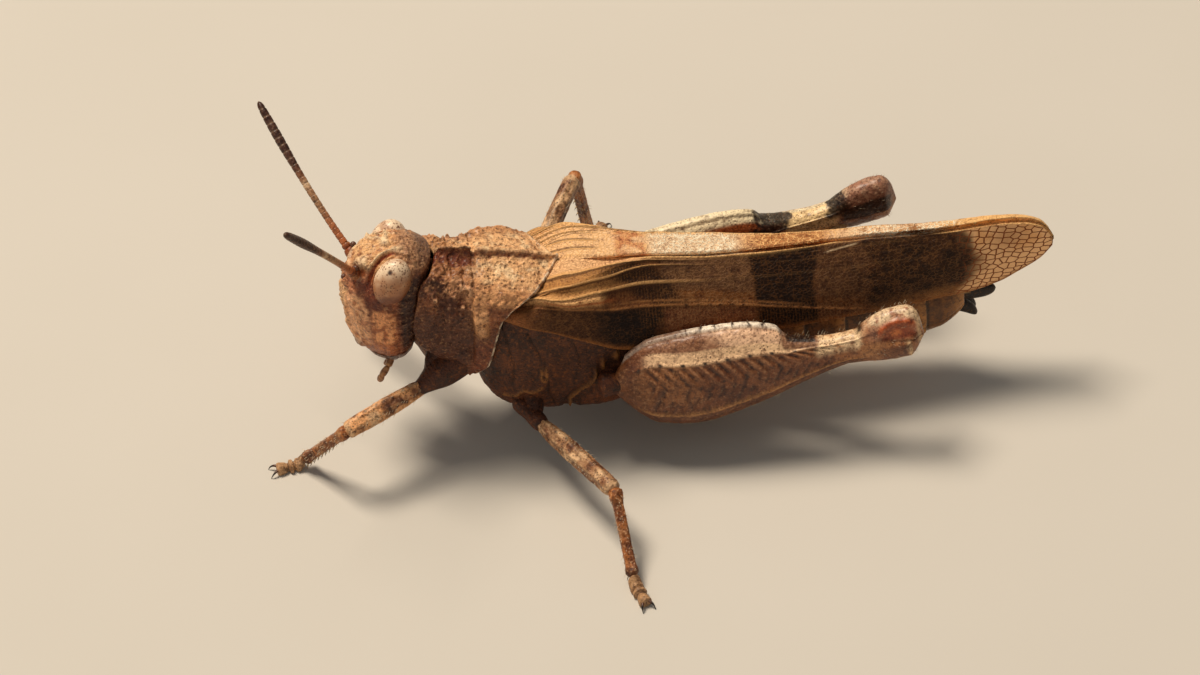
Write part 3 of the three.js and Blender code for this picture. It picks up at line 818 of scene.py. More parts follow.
@dataclass(frozen=True)
class Membrane:
    """A leathery fore wing: cells between veins, with a dense fine net and an open one at the tip.

    It reads "paint", "line_paint" (the fine net's colour), "fan" (whole at each long vein), "bold" (how
    strongly the long veins show), "ladder" (how strongly the close cross veins show), "net" (0 the fine
    net, 1 the open one of the tip), "lattice_share" (how strongly the fine net shows) and "coarse" (how
    strongly the coarser net of the back shows).

    Attributes:
        name: the material's name.
        shade_colour: the colour that darkens the ground in clouds.
        vein_colour: the colour of the open net.
        valley_colour: the colour beside each long vein, partly painted shade beside the raised vein.
        crest_colour: the colour along it, partly painted highlight on the raised vein.
    """

    name: str
    shade_colour: str = "7A4826"
    vein_colour: str = "8C461C"
    valley_colour: str = "3E200E"
    crest_colour: str = "E8B070"

    def material(self) -> bpy.types.Material:
        """Builds it: cell edges of three nets and lines beside whole numbers of the fan.

        Returns:
            The material.
        """
        shader = Shader(self.name, IOR=1.45, Specular_IOR_Level=0.2)
        where = shader.place((0.8, 1.0, 1.0))
        flat = shader.place((2.6, 1.0, 3.9), (-math.pi / 2, 0.0, 0.3))
        net = shader.value("net")
        coarse = shader.value("coarse")
        fine_edge = shader.cells(where, 7.0, Distance.EDGE, 0.9).over(0.16, 0.03)
        coarse_edge = shader.cells(where, 6.0, Distance.EDGE).over(0.15, 0.05)
        open_edge = shader.cells(flat, 1.0, Distance.EDGE, 0.68, "2D").over(0.1, 0.045)
        fan = shader.value("fan")
        bold = shader.value("bold")
        crest = (fan - 0.07).from_whole().over(0.13, 0.04) * bold
        valley = (fan + 0.1).from_whole().over(0.16, 0.05) * bold
        across = shader.signal("ShaderNodeSeparateXYZ", {}, {0: shader.place()})
        noise = shader.noise(shader.place(), 3.2, 5.0, 0.7)
        grit = shader.noise(shader.place(), 11.0, 3.0, 0.7)
        rungs = (across * 7.4 + noise * 1.4).from_whole().over(0.22, 0.08) * shader.value("ladder")
        line_paint = shader.paint("line_paint")
        broken = noise.over(0.4, 0.54)
        pale = fine_edge * (1 - net) * shader.value("lattice_share") * broken + coarse_edge * coarse * broken
        shade = ((0.52 - noise) * 2.4 + (0.5 - grit) * 2.6 + 0.04).clipped() * (1 - net * 0.85)
        colour = shader.mix(shade, shader.paint(), self.shade_colour, "MULTIPLY")
        colour = shader.mix((pale + rungs * grit.over(0.4, 0.55) * 0.7).clipped(), colour, line_paint)
        # Dark beside each long vein and pale along it: partly painted shade and highlight on the raised
        # veins.
        colour = shader.mix((valley * 0.65).clipped(), colour, self.valley_colour)
        colour = shader.mix((crest * 0.75).clipped(), colour, self.crest_colour)
        colour = shader.mix((open_edge * net).clipped(), colour, self.vein_colour)
        height = (fine_edge * 0.5 + coarse_edge * coarse * 0.6) * (1 - net) + open_edge * net * 0.8
        height = height + crest - valley * 0.7 + rungs * 0.4 + noise * 0.9 + grit * 0.4
        shader.feed(
            Base_Color=colour,
            Roughness=(0.58 - fine_edge * 0.12 - crest * 0.15).clipped(),
            Normal=shader.relief(height, 0.04),
        )
        return shader.material


@dataclass(frozen=True)
class Facets:
    """A compound eye: a painted ground under clouds and fine dark specks, with tiny facets as relief.

    Attributes:
        name: the material's name.
        cloud_colour: the colour of its soft clouds.
        speck_colour: the colour of its specks, of two sizes.
        pale_colour: the colour of its pale patches.
    """

    name: str
    cloud_colour: str = "9A5A34"
    speck_colour: str = "6A3418"
    pale_colour: str = "E0BE92"

    def material(self) -> bpy.types.Material:
        """Builds it: facets are cells of even spacing, specks are larger loose cells.

        Returns:
            The material.
        """
        shader = Shader(self.name, IOR=1.45, Coat_Weight=0.22, Coat_Roughness=0.22)
        where = shader.place()
        facet = shader.cells(where, 22.0, loose=0.25)
        blur = shader.noise(where, 2.6, 4.0, 0.65)
        speck = shader.cells(where, 9.0).over(0.44, 0.22) * blur.over(0.4, 0.52)
        speck = speck + shader.cells(where, 3.6).over(0.26, 0.14) * blur.over(0.42, 0.54) * 0.7
        cloud = shader.noise(where, 5.0, 4.0, 0.7).over(0.5, 0.68) * 0.5
        colour = shader.mix(cloud, shader.paint(), self.cloud_colour)
        colour = shader.mix((speck * 0.85).clipped(), colour, self.speck_colour)
        colour = shader.mix((blur.over(0.5, 0.72) * 0.3).clipped(), colour, self.pale_colour)
        shader.feed(
            Base_Color=colour, Roughness=(blur * 0.3 + 0.26).clipped(), Normal=shader.relief(1 - facet, 0.008)
        )
        return shader.material


@dataclass(frozen=True)
class Horn:
    """Spines, claws and bristles: their colour changes along their length.

    Attributes:
        name: the material's name.
        root_colour: the colour at the root.
        tip_colour: the colour at the tip.
        change: the share of the length where one becomes the other.
        roughness: the mean roughness.
    """

    name: str
    root_colour: str
    tip_colour: str
    change: float = 0.6
    roughness: float = 0.4

    def material(self) -> bpy.types.Material:
        """Builds it: the colour changes where the value "along" passes `change`.

        Returns:
            The material.
        """
        shader = Shader(self.name, IOR=1.5)
        blotch = shader.noise(shader.place(), 6.0, 2.0)
        share = (shader.value("along") + (blotch - 0.5) * 0.3).over(self.change - 0.15, self.change + 0.15)
        colour = shader.mix(share, self.root_colour, self.tip_colour)
        shader.feed(Base_Color=colour, Roughness=blotch * 0.2 + self.roughness - 0.1)
        return shader.material


@dataclass
class Finishes:
    """Every finish of the animal, made once and shared by its pieces."""

    head: bpy.types.Material = field(init=False)
    shield: bpy.types.Material = field(init=False)
    body: bpy.types.Material = field(init=False)
    belly: bpy.types.Material = field(init=False)
    wing: bpy.types.Material = field(init=False)
    fan: bpy.types.Material = field(init=False)
    eye: bpy.types.Material = field(init=False)
    feeler: bpy.types.Material = field(init=False)
    walking_leg: bpy.types.Material = field(init=False)
    jumping_leg: bpy.types.Material = field(init=False)
    bristle: bpy.types.Material = field(init=False)
    spine: bpy.types.Material = field(init=False)
    claw: bpy.types.Material = field(init=False)

    def __post_init__(self) -> None:
        """Makes the materials."""
        self.head = Chitin(
            "wrinkled ochre head shell", 0.45, 0.17, "642E12", 0.5, "F4C088", 0.24, 0.03, 0.16, 0.07, coat=0.2
        ).material()
        self.shield = Chitin(
            "rugose ochre shield", 0.48, 0.2, "602E14", 0.7, "E8B27A", 0.3, 0.05, 0.2, 0.1, coat=0.25
        ).material()
        self.body = Chitin(
            "speckled brown thorax shell", 0.55, 0.12, "1C0C06", 0.85, "A0602F", 0.45, grit=0.07
        ).material()
        self.belly = Chitin(
            "yellowish brown abdomen shell", 0.5, 0.2, "33200E", 0.6, "A07438", 0.25,
            pit_depth=0.01, grit=0.02,
        ).material()
        self.wing = Membrane("brown fore wing membrane").material()
        self.fan = Chitin(
            "pale hind wing membrane", 0.45, 0.3, "A98A60", 0.2, pit_depth=0.008, grit=0.01
        ).material()
        self.eye = Facets("ochre speckled eye").material()
        self.feeler = Chitin(
            "red-brown feeler", 0.45, 0.12, "2A140C", 0.3, fleck_share=0.1, pit_depth=0.008, grit=0.01
        ).material()
        self.walking_leg = Chitin(
            "blotched tan leg", 0.5, 0.13, "3E1E0E", 0.85, "EAC294", 0.4, pit_depth=0.016, grit=0.03
        ).material()
        self.jumping_leg = Chitin(
            "speckled beige jumping leg", 0.42, 0.13, "5E3218", 0.85, "F0C898", 0.15, 0.014,
            grit=0.03, coat=0.3,
        ).material()
        self.bristle = Horn("pale bristle", "A88460", "EAD8B8", 0.3).material()
        self.spine = Horn("tibia spine", "C9A878", "1E120C", 0.5).material()
        self.claw = Horn("dark claw", "5A3420", "140C08", 0.4).material()


# ------------------------------------------------------------------ head and feelers


@dataclass
class Head:
    """The head capsule with its face ridges, eyes, simple eyes, mouthparts and palps.

    Attributes:
        finishes: the shared finishes.
        front: X of the capsule's front against Z.
        back: X of its back.
        half: half its width.
        mouth_cut: Z where the capsule ends and the mouthparts begin.
        mouth_bottom: Z of the mouthparts' lower end.
        top: Z of the crown.
        face_taper: how much narrower the face is than the back.
        eye_radii: an eye's radii before its lean.
        eye_shift: the eye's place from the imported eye's centre.
        eye_lean: the eye's turn about the level axis.
        ocelli: the simple eyes' places.
        ocellus: a simple eye's radius.
        palps: each palp's joints on the right side, by its radius.
    """

    finishes: Finishes
    front: Curve = Curve(
        (4.6, 1.3), (4.9, 0.75), (5.5, 0.32), (6.1, 0.08), (7.6, -0.2), (8.7, -0.12), (9.5, 0.05),
        (10.2, 0.35), (10.6, 0.62), (10.85, 1.3), (10.95, 2.0),
    )
    back: Curve = Curve(
        (4.6, 2.1), (5.4, 2.6), (6.4, 2.85), (7.2, 3.15), (8.3, 3.4), (9.4, 3.6), (10.1, 3.65),
        (10.5, 3.25), (10.8, 2.85), (10.95, 2.4),
    )
    half: Curve = Curve(
        (4.6, 0.75), (5.2, 1.35), (6.0, 1.85), (6.9, 2.05), (8.0, 1.98), (9.0, 1.8), (9.8, 1.55),
        (10.3, 1.3), (10.7, 0.85), (10.95, 0.2),
    )
    mouth_cut: float = 5.75
    mouth_bottom: float = 4.6
    top: float = 10.95
    face_taper: float = 0.3
    eye_radii: tuple = (0.8, 0.69, 1.34)
    eye_shift: tuple = (0.03, 0.0, -0.26)
    eye_lean: float = -0.28
    ocelli: tuple = ((0.42, -0.72, 10.22), (0.42, 0.72, 10.22), (-0.12, 0.0, 9.1))
    ocellus: float = 0.13
    palps: dict = field(default_factory=lambda: {
        0.15: [(1.6, 0.95, 5.1), (1.35, 1.25, 4.75), (1.05, 1.3, 4.3), (0.95, 1.1, 3.85)],
        0.11: [(1.75, 0.35, 4.9), (1.45, 0.5, 4.5), (1.25, 0.45, 4.1)],
    })

    def __post_init__(self) -> None:
        """Builds every piece of the head."""
        self.build_capsule()
        self.build_eyes()
        self.build_ocelli()
        self.build_mouth()
        self.build_palps()

    def shell(self, height: Points, angle: Points) -> Points:
        """The capsule's smooth shape: a squared ring at each height, narrower towards the face.

        Args:
            height: Z of each point.
            angle: the angle round the ring, 0 at the back.

        Returns:
            The points.
        """
        front, back = self.front(height), self.back(height)
        towards_back = squared(np.cos(angle), 2.6)
        x = (front + back) / 2 + towards_back * (back - front) / 2
        taper = 1 - self.face_taper * np.maximum(-towards_back, 0)
        return np.stack([x, squared(np.sin(angle), 2.3) * self.half(height) * taper, height], axis=-1)

    def eye_field(self, points: Points) -> Points:
        """The size of the eye's ellipsoid through each point: 1 on the eye, more outside it."""
        offset = points * [1, 0, 1] + np.abs(points) * [0, 1, 0] - EYE_CENTRE - self.eye_shift
        return np.linalg.norm(self.eye_turned(offset, -1) / self.eye_radii, axis=-1)

    def eye_turned(self, offset: Points, sense: int) -> Points:
        """Turns offsets from an eye's centre by its lean about the level axis.

        Args:
            offset: the offsets.
            sense: 1 to lean them, -1 to turn them back.

        Returns:
            The turned offsets.
        """
        cosine, sine = math.cos(self.eye_lean), math.sin(self.eye_lean) * sense
        x, y, z = split(offset)
        return np.stack([cosine * x - sine * z, y, sine * x + cosine * z], axis=-1)

    def build_capsule(self) -> None:
        """The capsule: ridges and furrows are bell curves across fixed lines, added along the normal."""
        along, angle = round_grid(200, 300)
        smooth = self.shell(mixed(self.mouth_cut, self.top, np.sin(along * math.pi / 2)), angle)
        normal = ring_directions(smooth, (2.0, 0.0, 8.5))
        x, y, z = split(smooth)
        side = np.abs(y)
        facing = eased(x, 1.0, 0.2) * eased(z, 10.9, 10.3)
        crown = eased(z, 10.1, 10.5)
        eye = self.eye_field(smooth)

        ridge_half = mixed(0.3, 0.42, eased(z, 9.2, 10.4)) + 0.08 * eased(z, 7.2, 6.2)
        ridge = plateau(side, -1.0, 0.3, 0.14) * facing * eased(z, 5.9, 6.4)
        rims = hump(side, ridge_half, 0.07) * facing * eased(z, 5.9, 6.5)
        sulcus = hump(side, 0, 0.16) * plateau(z, 7.6, 9.6, 0.5) * facing
        cheek_line = mixed(1.0, 1.28, eased(z, 9.0, 6.6))
        cheek_ridge = hump(side, cheek_line, 0.08) * plateau(z, 6.2, 8.9, 0.3) * eased(x, 1.4, 0.9)
        furrow = hump(x, 1.62 + 0.12 * (8.7 - z), 0.07) * plateau(z, 6.2, 8.2, 0.3) * eased(side, 0.9, 1.2)
        socket_gap = np.linalg.norm((smooth - [0.42, 0, 9.7]) * [1, 0, 1], axis=-1)
        socket = hump(socket_gap, 0, 0.3) * hump(side, 0.52, 0.26)
        ahead = eased(x, 2.5, 1.7) * eased(z, 9.2, 9.8)
        rim = hump(eye, 1.1, 0.05) * (0.25 + 0.75 * ahead)
        trench = hump(eye, 1.24, 0.1) * ahead
        margin = hump(eye, 1.44, 0.06) * ahead * crown
        hollow = hump(x, 1.15, 0.5) * hump(side, 0, 0.3) * crown
        keel = hump(side, 0, 0.05) * crown * eased(x, 1.8, 2.2)
        smoother = eased(x, 3.3, 2.5)
        wrinkles = grain(smooth * [0.8, 0.8, 4.2], 0.5, 2, 13) * eased(x, 1.3, 1.8) * eased(z, 9.8, 9.0)
        bare = np.clip(crown + facing, 0, 1)
        crumple = np.abs(grain(smooth, 0.45, 3, 3)) * bare
        folds = np.clip(1 - 3.2 * np.abs(grain(smooth * [1, 1, 0.7], 0.75, 2, 61)), 0, 1)
        folds = folds * bare * eased(eye, 1.15, 1.3)
        lift = 0.07 * ridge + 0.06 * rims - 0.1 * sulcus + 0.05 * cheek_ridge - 0.06 * furrow - 0.13 * socket
        lift += 0.05 * rim - 0.13 * trench + 0.1 * margin - 0.08 * hollow + 0.03 * keel
        skin = 0.09 * crumple + 0.14 * folds + 0.06 * wrinkles + 0.014 * grain(smooth, 0.2, 2, 17)
        lift += skin * smoother
        surface = smooth + normal * (lift - 0.05)[..., None]

        mottle = grain(smooth, 0.9, 3, 5)
        fine = grain(smooth, 0.22, 2, 8)
        behind = plateau(x, 2.2, 3.5, 0.35) * eased(z, 10.4, 9.6)
        top_rear = eased(z, 9.9, 10.4) * eased(x, 1.9, 2.5)
        cheek_front = eased(x, 0.9, 0.6) * plateau(z, 6.6, 9.2, 0.4)
        stripe = plateau(x + 0.08 * fine, 0.75, 1.2, 0.1) * eased(side, 0.5, 0.8)
        stripe = stripe * (plateau(z, 8.3, 9.5, 0.3) + 0.35 * plateau(z, 6.8, 8.1, 0.3))
        under_feeler = np.hypot((x - 0.7) / 0.38, (z - 9.3) / 0.5)
        under_feeler = eased(under_feeler + 0.2 * fine, 1.2, 0.7) * eased(side, 0.4, 0.7)
        crown_front = eased(z, 10.1, 10.5) * eased(x, 2.4, 1.9)
        face = np.clip(facing + cheek_front, 0, 1)
        nape_shade = eased(x, self.back(z) - 0.35, self.back(z) - 0.1) * eased(z, 10.2, 9.4)
        patch = plateau(x + 0.1 * fine, 0.95, 1.75, 0.2) * plateau(z, 6.9, 8.3, 0.25) * eased(side, 0.7, 0.9)
        ground = layered(
            plain("A2572C", x.shape),
            ("6A3418", eased(mottle + 0.3 * fine, 0.0, 0.6) * 0.75),
            ("C87A44", eased(-mottle, 0.2, 0.8) * 0.7),
            ("CC7640", plateau(z, 6.0, 8.2, 0.6) * eased(x, 2.1, 1.5) * 0.65),
            # Painted shade behind the eye.
            ("3C1706", behind * 0.97),
            ("C2926A", top_rear * 0.9),
            ("8A5632", top_rear * eased(fine + mottle, 0.1, 0.7) * 0.7),
            ("6E4A34", eased(x, 2.7, 3.3) * eased(z, 10.0, 10.3) * 0.8),
            ("F2BC82", eased(z, 10.0, 10.45) * eased(x, 2.5, 1.8)),
            ("AC6434", crown_front * eased(fine, 0.15, 0.6) * 0.65),
            ("FFE6BC", folds * eased(x, 2.6, 2.0) * 0.75),
            ("963F14", trench * 1.3),
            ("FFDFB0", np.clip(margin * 1.3 + rims * 0.8, 0, 1) * 0.9),
            # The face's pale orange: its own colour, painted paler as painted light on the lit face.
            ("F8B884", cheek_front * 0.95),
            ("F8C48E", facing * plateau(side, -1, 0.4, 0.1) * eased(z, 10.4, 9.8) * 0.9),
            ("A24E22", face * eased(fine + mottle, 0.15, 0.7) * 0.6),
            ("963E16", hump(z, 9.35, 0.4) * facing * plateau(side, 0.0, 1.0, 0.1) * 0.75),
            ("963E16", socket * 0.9),
            ("6A2A12", stripe * (0.9 + 0.2 * fine)),
            ("7E3618", under_feeler * 0.9),
            ("FFAE70", patch * eased(fine, -0.7, 0.0) * 0.95),
            ("8A4624", eased(z, 6.6, 5.8) * 0.6),
            # Painted shade along the head's back edge, where it meets the shield.
            ("32180C", nape_shade * 0.6),
        )
        make_piece("head_capsule", Skin.loft(surface, paint=ground), self.finishes.head, "head_shell", "head")

    def build_eyes(self) -> None:
        """Eyes: leaning ellipsoids, paler above and brown below, partly their own colour and partly painted
        light and shade, with the dark spot of the deepest facets.
        """
        sphere = ball(90, 110, 0.02)
        high = sphere[..., 2:]
        taper = 1 + 0.09 * high - 0.06 * high**2
        offset = sphere * self.eye_radii * np.concatenate([taper, taper, np.ones_like(taper)], axis=-1)
        offset = self.eye_turned(offset, 1)
        for side in Side:
            points = (EYE_CENTRE + self.eye_shift) * [1, side.value, 1] + offset
            outward = offset[..., 1] * side.value
            blur = grain(points, 0.45, 3, 4)
            # Painted light and shade: paler on top and towards the head's middle, darker below.
            lit = 0.6 * offset[..., 2] - 0.8 * outward + 0.22 * blur - 0.1 * sphere[..., 0]
            seen = np.stack([offset[..., 0] + 0.02, outward - 0.38, offset[..., 2] - 1.04], axis=-1)
            spot = np.linalg.norm(seen, axis=-1)
            ground = layered(
                plain("B97E52", points.shape[:2]),
                ("FCE2C0", eased(lit, -0.15, 0.5) * 0.92),
                ("6A3214", eased(lit, -0.24, -0.58) * 0.95),
                ("A86A3E", eased(blur, 0.1, 0.8) * 0.6),
                ("643418", eased(sphere[..., 0] + 0.2 * blur, 0.4, 0.9) * 0.6),
                ("30140A", eased(spot + 0.05 * blur, 0.16, 0.07) * 0.95),
            )
            eye = Skin.loft(points, paint=ground)
            make_piece(f"compound_eye_{side.word}", eye, self.finishes.eye, "eye", f"eye_{side.word}")

    def build_ocelli(self) -> None:
        """The three simple eyes: small domes above each feeler and on the face ridge."""
        dome = ball(14, 18, 0.05) * self.ocellus
        shine = np.full(dome.shape[:2], 0.2)
        domes = [Skin.loft(place + dome, along=shine) for place in self.ocelli]
        make_piece("simple_eyes", Skin.joined(domes), self.finishes.claw, "eye")

    def build_mouth(self) -> None:
        """Clypeus, upper lip and jaws: the shell's lower end, pinched in along seams."""
        along, angle = round_grid(90, 200)
        smooth = self.shell(mixed(self.mouth_cut + 0.02, self.mouth_bottom, along), angle)
        x, y, z = split(smooth)
        side = np.abs(y)
        facing = eased(x, 1.5, 0.9)
        lip = hump(z, 5.42, 0.05) * facing
        notch = hump(side, 0, 0.09) * eased(z, 5.2, 4.8) * facing
        jaw_seam = hump(x, 1.35 + 0.1 * (5.7 - z), 0.05) * eased(side, 0.5, 0.8)
        palp_seam = hump(x, 1.85, 0.05) * eased(side, 0.4, 0.7)
        pinch = 0.985 - 0.05 * lip - 0.06 * notch - 0.05 * jaw_seam - 0.04 * palp_seam
        pinch = pinch + 0.02 * grain(smooth, 0.3, 2, 2)
        middle = np.stack([np.full(x.shape, 1.5), np.zeros(x.shape), z], axis=-1)
        surface = middle + (smooth - middle) * pinch[..., None]
        ground = layered(
            plain("6A3A22", x.shape),
            ("9A6A46", facing * plateau(z, 5.42, 5.75, 0.05) * 0.7),
            ("4A2616", eased(grain(smooth, 0.5, 2, 6), 0.1, 0.6) * 0.6),
            ("EAD4B0", eased(z, 4.9, 4.72) * facing * 0.9),
            ("3A1E12", np.clip(lip + jaw_seam, 0, 1) * 0.6),
        )
        mouth = Skin.loft(surface, paint=ground)
        make_piece("jaws_and_lip", mouth, self.finishes.head, "mouth_shell", "mouthparts")

    def build_palps(self) -> None:
        """Two palps on each side: a long outer one and a short inner one."""
        for side in Side:
            palps = Skin.joined(jointed(points, radius, side) for radius, points in self.palps.items())
            make_piece(f"palps_{side.word}", palps, self.finishes.head, "mouth_shell", f"palp_{side.word}")


def bezier(points: Sequence[Points], share: Points) -> Points:
    """Follows a quadratic curve: (1-t)^2 a + 2t(1-t) b + t^2 c.

    Args:
        points: its root a, bend b and tip c.
        share: t at each place wanted.

    Returns:
        The places.
    """
    a, b, c = (np.asarray(point, float) for point in points)
    t = share[..., None]
    return (1 - t) ** 2 * a + 2 * t * (1 - t) * b + t**2 * c


def tube(path: Points, radius: Points, sides: int) -> Points:
    """Round rings along a path, on two directions crossed with its tangent.

    Args:
        path: the middle line's points.
        radius: half the width at each of them.
        sides: how many corners a ring has.

    Returns:
        An array of rings x corners x 3.
    """
    tangent = unit(np.gradient(path, axis=0))
    first = unit(np.cross([0.0, 1.0, 0.0], tangent))
    second = np.cross(tangent, first)
    turn = np.linspace(0, FULL_TURN, sides, endpoint=False)[None, :, None]
    spoke = np.cos(turn) * first[:, None] + np.sin(turn) * second[:, None]
    return path[:, None] + spoke * radius[:, None, None]


def jointed(points: Sequence[tuple], radius: float, side: Side) -> Skin:
    """Makes a short limb of plump lengths, each sine-shaped between its joints.

    Args:
        points: the joints, on the right side.
        radius: half the width of a length.
        side: the side that it is for.

    Returns:
        The limb.
    """
    lengths = []
    placed = np.array(points) * [1, side.value, 1]
    for start, end in zip(placed[:-1], placed[1:]):
        along = np.linspace(0, 1, 20)
        path = mixed(start, end, along[:, None])
        swell = radius * (0.62 + 0.38 * np.sin(along * math.pi) ** 0.5) * (0.85 + 0.3 * along)
        rings = tube(path, swell, 18)
        middle = np.broadcast_to(hump(along, 0.5, 0.25)[:, None], rings.shape[:2])
        ground = tinted(plain("C48E5C", rings.shape[:2]), "7A4426", middle * 0.6)
        lengths.append(Skin.loft(rings, paint=ground))
    return Skin.joined(lengths)


@dataclass
class Feelers:
    """The two feelers: a thick base joint, a short one, and a whip of many rings.

    Attributes:
        finishes: the shared finishes.
        paths: each feeler's root, bend and tip.
        rings: how many rings a whip has.
        base_end: the share of the length where the first joint ends.
        second_end: where the second one ends.
        half: half the whip's width against the share of its length.
    """

    finishes: Finishes
    paths: dict = field(default_factory=lambda: {
        Side.LEFT: [(0.42, -0.55, 9.65), (-0.6, -2.1, 12.4), (-2.4, -3.95, 15.75)],
        Side.RIGHT: [(0.42, 0.55, 9.65), (-1.1, 2.5, 11.3), (-2.95, 6.2, 13.95)],
    })
    rings: int = 23
    base_end: float = 0.075
    second_end: float = 0.115
    half: Curve = Curve((0, 0.16), (0.3, 0.145), (0.55, 0.155), (0.78, 0.2), (0.93, 0.17), (1, 0.12))

    def __post_init__(self) -> None:
        """Builds both feelers."""
        for side, points in self.paths.items():
            joints, whip = self.joints(points), self.whip(points)
            finish, node = self.finishes.feeler, f"antenna_{side.word}"
            make_piece(f"feeler_joints_{side.word}", joints, finish, "feeler", f"{node}_base")
            make_piece(f"feeler_whip_{side.word}", whip, finish, "feeler", f"{node}_flagellum")

    def joints(self, points: Sequence[tuple]) -> Skin:
        """Makes the two base joints, each a barrel: radius sine-shaped along its length.

        Args:
            points: the feeler's root, bend and tip.

        Returns:
            Both joints.
        """
        barrels = []
        for start, end, radius in ((0.0, self.base_end, 0.27), (self.base_end, self.second_end, 0.2)):
            along = np.linspace(0, 1, 26)
            path = bezier(points, mixed(start, end, along))
            swell = radius * (0.72 + 0.28 * np.sin(along * math.pi) ** 0.6)
            rings = tube(path, swell, 28)
            mottle = eased(grain(rings, 0.25, 2, 1), 0.1, 0.6)
            ground = tinted(plain("8E4A26", rings.shape[:2]), "C88A54", mottle * 0.5)
            barrels.append(Skin.loft(rings, paint=ground))
        return Skin.joined(barrels)

    def whip(self, points: Sequence[tuple]) -> Skin:
        """Makes the whip: each ring widens a little towards its far end and is pinched in at both.

        Args:
            points: the feeler's root, bend and tip.

        Returns:
            The whip.
        """
        along = np.linspace(0, 1, self.rings * 12 + 1)
        path = bezier(points, mixed(self.second_end, 0.992, along))
        phase = np.mod(along * self.rings, 1.0)
        pinch = 1 - 0.13 * np.clip(hump(phase, 0, 0.08) + hump(phase, 1, 0.08), 0, 1) + 0.04 * phase
        blunt = np.sqrt(np.clip(1 - ((along - 0.97) / 0.03) ** 2, 0.05, 1)) * (along > 0.97) + (along <= 0.97)
        rings = tube(path, self.half(along) * pinch * blunt, 22)
        joint = np.clip(hump(phase, 0, 0.11) + hump(phase, 1, 0.11), 0, 1)
        wide = np.broadcast_to(along[:, None], rings.shape[:2])
        ground = layered(
            plain("B4673A", rings.shape[:2]),
            ("A8805C", hump(wide, 0.36, 0.16) * 0.9),
            ("64402E", eased(wide, 0.42, 0.6)),
            ("E0C098", hump(wide, 0.47, 0.03) * 0.7),
            ("3E221A", eased(wide, 0.56, 0.75) * 0.8),
            ("B99878", np.broadcast_to(joint[:, None], rings.shape[:2]) * 0.3 * eased(wide, 0.1, 0.3)),
        )
        return Skin.loft(rings, paint=ground)


# ------------------------------------------------------------------ pronotum, thorax and abdomen


def boxy_rings(top: Curve, bottom: Curve, half: Curve, at: Points, sides: int, exponent: float) -> Points:
    """Rings of a body at each X: squared sine for the height, squared cosine for the width.

    Args:
        top: the upper outline against X.
        bottom: the lower outline.
        half: half the width.
        at: X of each ring.
        sides: corners in a ring, the first at the right side.
        exponent: 2 for a round ring, more for a boxier one.

    Returns:
        An array of rings x corners x 3.
    """
    angle = np.linspace(0, FULL_TURN, sides, endpoint=False)[None, :]
    x = np.broadcast_to(at[:, None], (len(at), sides))
    y = squared(np.cos(angle), exponent) * half(x)
    z = (top(x) + bottom(x)) / 2 + squared(np.sin(angle), exponent) * (top(x) - bottom(x)) / 2
    return np.stack([x, y, z], axis=-1)


